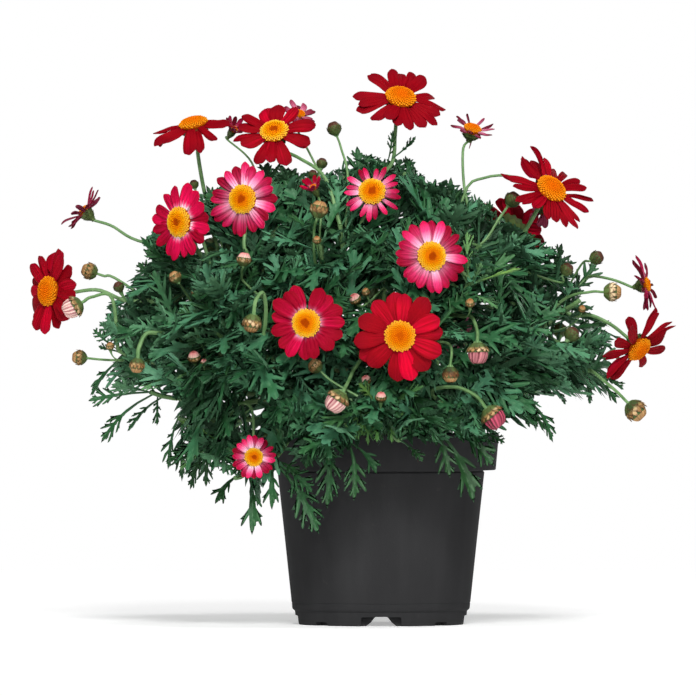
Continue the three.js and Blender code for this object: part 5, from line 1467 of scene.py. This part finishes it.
def scale_paint():
    """Scales that turn from green to cream as a bud ripens, with dark brown edges."""
    paint = Paint("scale", Roughness=0.6, Specular_IOR_Level=0.2)
    along, edge, tone, ripe = paint.look()
    green = paint.ramp(tone, (0, 38, 52, 26), (1, 96, 116, 62))
    cream = paint.ramp(tone, (0, 92, 60, 32), (0.5, 168, 130, 80), (0.9, 240, 214, 172))
    brown = paint.ramp(paint.noise(900, 2), (0.35, 40, 22, 14), (0.65, 96, 58, 34))
    rim = paint.times(paint.past(edge, 0.5, 2), paint.times(along, 1.4, clamp=True))
    dry = paint.math("MAXIMUM", paint.past(along, 0.74, 4), rim)
    dry = paint.times(dry, paint.times(ripe, 2.4, clamp=True))
    paint.bump(paint.noise(1200, 2), 0.3, 0.0004)
    return paint.finish(paint.blend(dry, paint.blend(paint.past(ripe, 0.5, 4), green, cream), brown))


def bud_paint():
    """The folded petals of a bud, from green through gold and pink to striped, with painted shade in the
    grooves between the folds.
    """
    paint = Paint("bud", Roughness=0.55, Specular_IOR_Level=0.2)
    high, groove, deep, kind = paint.look()
    green = paint.ramp(high, (0, 96, 66, 44), (0.5, 70, 38, 28), (1, 110, 76, 56))
    gold = paint.ramp(high, (0.1, 190, 154, 104), (0.7, 168, 120, 70), (1, 150, 80, 30))
    pink = paint.ramp(high, (0.1, 236, 204, 184), (0.6, 226, 140, 140), (1, 190, 84, 76))
    light = paint.blend(groove, (250, 222, 206), (158, 48, 80))
    dark = paint.blend(groove, (196, 78, 104), (52, 0, 18))
    ragged = paint.times(paint.less(paint.noise(500, 2), 0.5), 0.8)
    centre = paint.past(paint.add(high, ragged), 0.74, 4, 0.85)
    striped = paint.blend(centre, paint.blend(deep, light, dark), (88, 38, 24))
    color = paint.blend(paint.times(kind, 3, clamp=True), green, gold)
    color = paint.blend(paint.past(kind, 0.34, 3.1), color, pink)
    color = paint.blend(paint.past(kind, 0.67, 3.1), color, striped)
    # Painted shade: the grooves between the folds are darkened, less on the striped buds.
    shade = paint.times(groove, paint.less(0.75, paint.times(kind, 0.5)))
    paint.bump(paint.noise(900, 2), 0.3, 0.0004)
    return paint.finish(paint.blend(shade, color, (72, 42, 28)))


# Colours of the petals from their roots to their tips, and of their backs. The red ones darken at the root:
# painted shade where they meet the disc.
PETAL_COLORS = {
    "red": [(0, 110, 0, 30), (0.14, 196, 0, 42), (0.6, 214, 0, 44), (1, 188, 0, 44)],
    "rose": [(0.2, 254, 236, 240), (0.27, 242, 110, 156), (0.38, 226, 16, 84), (0.95, 206, 2, 62)],
    "pink": [(0.06, 255, 250, 250), (0.32, 250, 176, 208), (0.6, 240, 72, 134), (0.9, 206, 14, 76)],
    "faded": [(0, 236, 190, 204), (0.4, 214, 120, 152), (1, 146, 26, 66)],
    "dark": [(0, 184, 96, 120), (0.3, 160, 30, 70), (1, 120, 10, 44)],
}
PETAL_BACKS = {"red": (150, 6, 34), "rose": (186, 50, 92), "pink": (236, 150, 182), "faded": (156, 66, 92),
               "dark": (156, 66, 92)}


def petal_paint(name):
    """Velvety petals that shade from root to tip, with fine streaks and paler backs, and with painted shade
    darkening their sides and petals of a low tone.
    """
    paint = Paint("petal_" + name, Roughness=0.7, Specular_IOR_Level=0.06)
    along, across, tone, top = paint.look()
    sides = paint.times(along, 0.9), paint.times(across, 9), paint.times(tone, 60)
    streaks = paint.noise(1, 3, paint.node("ShaderNodeCombineXYZ", *sides).outputs[0])
    shifted = paint.add(along, paint.times(paint.less(streaks, 0.5), 0.4))
    shifted = paint.add(shifted, paint.times(paint.less(0.7, tone), 0.16))
    color = paint.ramp(shifted, *PETAL_COLORS[name])
    # Painted shade: darker at a petal's sides, where it meets its neighbours, and darker for a low tone.
    off_middle = paint.math("ABSOLUTE", paint.less(across, 0.5))
    shade = paint.add(paint.past(off_middle, 0.38, 5, 0.7), paint.past(tone, 1, -1.25))
    shade = paint.math("ADD", paint.past(streaks, 0.6, -1.8), shade, clamp=True)
    color = paint.blend(paint.times(shade, 0.88), color, (140, 52, 74), "MULTIPLY")
    paint.bump(streaks, 0.5, 0.0008)
    return paint.finish(paint.blend(paint.times(paint.less(1, top), 0.6), color, PETAL_BACKS[name]))


def disc_paint():
    """Orange florets with yellow lips, a brown eye in some heads, and painted shade that darkens the
    florets' feet, their pits and the dome between them.
    """
    paint = Paint("disc", Roughness=0.8, Specular_IOR_Level=0.03)
    share, level, tone, eye = paint.look()
    # The deep colour is painted shade at the florets' feet and pits.
    deep = paint.ramp(share, (0, 180, 68, 0), (0.6, 170, 70, 0), (1, 120, 46, 0))
    orange = paint.ramp(share, (0.2, 220, 112, 4), (0.7, 230, 132, 8), (0.97, 240, 164, 30))
    yellow = paint.ramp(share, (0.2, 234, 154, 2), (0.7, 244, 184, 6), (0.97, 250, 216, 74))
    color = paint.blend(level, deep, paint.blend(eye, orange, yellow))
    color = paint.blend(paint.times(tone, 0.4), color, (228, 112, 0))
    ragged = paint.times(paint.less(paint.noise(420, 2), 0.5), 0.5)
    brown = paint.times(paint.past(paint.add(share, ragged), 0.33, -14, 0.9), eye)
    paint.bump(paint.noise(2200, 1), 0.2, 0.0003)
    return paint.finish(paint.blend(brown, color, (150, 54, 0)))


def pot_paint():
    """Black moulded plastic with a dull face, faint flow lines and dust."""
    paint = Paint("pot", Roughness=0.7, Specular_IOR_Level=0.03)
    flow = paint.node("ShaderNodeMapping", paint.place())
    flow.inputs["Scale"].default_value = (1, 1, 0.12)
    cloudy = paint.noise(60, 4, flow.outputs[0])
    color = paint.ramp(cloudy, (0.3, 42, 42, 43), (0.7, 49, 49, 50))
    color = paint.blend(paint.past(paint.noise(240, 5), 0.66, 2, 0.3), color, (96, 92, 86))
    paint.bump(paint.noise(1400, 2), 0.12, 0.0004)
    return paint.finish(color, paint.add(0.62, paint.times(cloudy, 0.16)))


def soil_paint():
    """Dark moist compost with lighter crumbs and brown bark."""
    paint = Paint("soil", Roughness=0.95, Specular_IOR_Level=0.1)
    tone, _, bark, loose = paint.look()
    ground = paint.ramp(paint.noise(500, 4), (0.3, 26, 18, 13), (0.7, 58, 42, 30))
    crumb = paint.ramp(tone, (0, 34, 24, 17), (0.8, 78, 56, 38), (1, 110, 88, 64))
    wood = paint.ramp(tone, (0, 70, 44, 26), (1, 120, 82, 50))
    paint.bump(paint.noise(900, 4), 0.7, 0.001)
    return paint.finish(paint.blend(loose, ground, paint.blend(bark, crumb, wood)))


# The plant


def take(piece, slot, *nodes):
    """Sets a piece on the body, in the place of its nodes."""
    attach(piece, "root")
    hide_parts(*nodes)


def make_heads():
    petals = {name: petal_paint(name) for name in PETAL_COLORS}
    florets = disc_paint()
    for i, head in enumerate(HEADS):
        name = f"bloom_{i + 1:02d}"
        rays = Build()
        draw_rays(rays, head, i, 0)
        if head.closed:
            draw_disc(rays, head, i, 1)
            piece = rays.object(name + "_fine_head", [petals[head.color], florets])
            take(piece, "petal_" + head.color, name + "_head")
            continue
        take(rays.object(name + "_fine_rays", [petals[head.color]]), "petal_" + head.color, name + "_rays")
        disc = Build()
        draw_disc(disc, head, i, 0)
        take(disc.object(name + "_fine_disc", [florets]), "disc", name + "_disc")


def make_stems():
    paints = [leaf_paint(back=False), leaf_paint(back=True), stem_paint(), scale_paint(), bud_paint()]
    for stem in range(len(STEMS)):
        build = Build()
        for which, shoot in enumerate(SHOOTS[stem]):
            draw_shoots(build, stem, which)
            for k in range(SPARSE_LEAVES if (stem, which) in SPARSE_SHOOTS else LEAVES_ON_A_SHOOT):
                draw_leaf(build, shoot, LEAF_SEED_STEP * stem + which + 1, k, (stem, which) in FRESH_SHOOTS)
        for table, first, width, youth in ((LONE_LEAVES, 0, 1, 0), (YOUNG_LEAVES, 120, 0.55, 1)):
            for i, (bearer, which, share, *tip) in enumerate(table, first):
                if bearer == stem:
                    root = bezier(SHOOTS[stem][which], share)[0]
                    arched_leaf(build, root, from_photo(*tip), i, width, youth)
        for i, (bearer, root, tip) in enumerate(STALK_LEAVES, 80):
            if bearer == stem:
                arched_leaf(build, from_photo(*root), from_photo(*tip), i, 0.6, 0)
        for table, draw in ((HEADS, draw_cup), (BUDS + SMALL_BUDS, draw_bud)):
            for i, item in enumerate(table):
                if item.bearer[0] == stem:
                    draw(build, item, i)
        name = f"leafy_stem_{stem + 1:02d}"
        take(build.object(name + "_fine", paints), "leaf", name)


take(make_pot(pot_paint()), "pot", "pot")
take(make_soil(soil_paint()), "soil", "soil")
make_heads()
make_stems()


# The studio


FLOOR_RADIUS = 1.3  # metres
LIT_HEIGHT = 0.17  # metres over the floor, of the point that the lights face
WHITE_BAND = 0.045  # how far above the horizon the studio's wall is white, as the sine of the angle


def make_floor():
    """A pale round floor that glows, dim near the pot and white at its rim, where it fades into the white
    of the studio.
    """
    sides = 96
    rings = np.array([0.02, 0.4, 0.7, 1]) * FLOOR_RADIUS
    points = turned_rings([(r, 0) for r in rings], sides)
    faces = [*grid_faces(len(rings), sides, True).tolist(), tuple(range(sides))]
    floor = solid("floor", points / MM, faces)
    paint = Paint("floor", Roughness=0.9, Specular_IOR_Level=0.1, Emission_Strength=1)
    reach = paint.node("ShaderNodeVectorMath", paint.place(), operation="LENGTH").outputs["Value"]
    fade = paint.math("DIVIDE", paint.less(reach, 0.16 * FLOOR_RADIUS), 0.5 * FLOOR_RADIUS, clamp=True)
    shade = paint.ramp(paint.noise(3, 1), (0, 236, 236, 236), (1, 242, 242, 242))
    # Painted light: the floor glows though it is no lamp, which whitens it and lights the plant from below.
    glow = paint.blend(fade, (168, 168, 168), (255, 255, 255))
    paint.put(glow, paint.shader.inputs["Emission Color"])
    floor.data.materials.append(paint.finish(paint.blend(fade, shade, (0, 0, 0))))


def make_light(name, place, size, power):
    lamp = bpy.data.lights.new(name, "AREA")
    lamp.shape = "DISK"
    lamp.size = size
    lamp.energy = power
    light = add_object(name, lamp)
    light.location = place
    target = Vector(POT_AXIS * MM) + Vector((0, 0, LIT_HEIGHT))
    light.rotation_euler = (target - light.location).to_track_quat("-Z", "Y").to_euler()


def make_world():
    """White walls and floor all round, and a dimmer ceiling."""
    world = bpy.data.worlds.new("studio")
    world.use_nodes = True
    nodes, links = world.node_tree.nodes, world.node_tree.links
    way = nodes.new("ShaderNodeTexCoord")
    parts = nodes.new("ShaderNodeSeparateXYZ")
    ramp = nodes.new("ShaderNodeValToRGB")
    links.new(way.outputs["Generated"], parts.inputs[0])
    links.new(parts.outputs["Z"], ramp.inputs[0])
    links.new(ramp.outputs[0], nodes["Background"].inputs["Color"])
    elements = ramp.color_ramp.elements
    elements[0].position, elements[0].color = WHITE_BAND, (1, 1, 1, 1)
    elements[1].position, elements[1].color = 2.2 * WHITE_BAND, (0.14, 0.14, 0.14, 1)
    bpy.context.scene.world = world


def make_studio():
    make_floor()
    make_light("key", (0.15, -2.3, 1.6), 0.7, 60)
    make_light("fill", (-0.1, -2.6, 0.6), 0.8, 14)
    make_light("top", (0.1, -0.8, 2.2), 0.7, 18)
    make_light("rim", (0.9, 1.7, 1.2), 0.8, 10)
    make_world()
    bpy.context.scene.view_settings.view_transform = "Standard"


def make_camera():
    """The eye of the photograph: level, in front of pixel 348, 348."""
    camera = add_object("camera", bpy.data.cameras.new("camera"))
    x = (EYE["u"] - POT_PIXEL["u"]) * MM_PER_PIXEL
    z = (POT_PIXEL["v"] - EYE["v"]) * MM_PER_PIXEL
    camera.location = Vector((POT_AXIS + vec(x, -EYE["distance"], z)) * MM)
    camera.rotation_euler = (math.pi / 2, 0, 0)
    camera.data.lens = 36 * EYE["distance"] / (IMAGE_WIDTH * MM_PER_PIXEL)
    camera.data.clip_end = 100
    bpy.context.scene.camera = camera


make_studio()
make_camera()
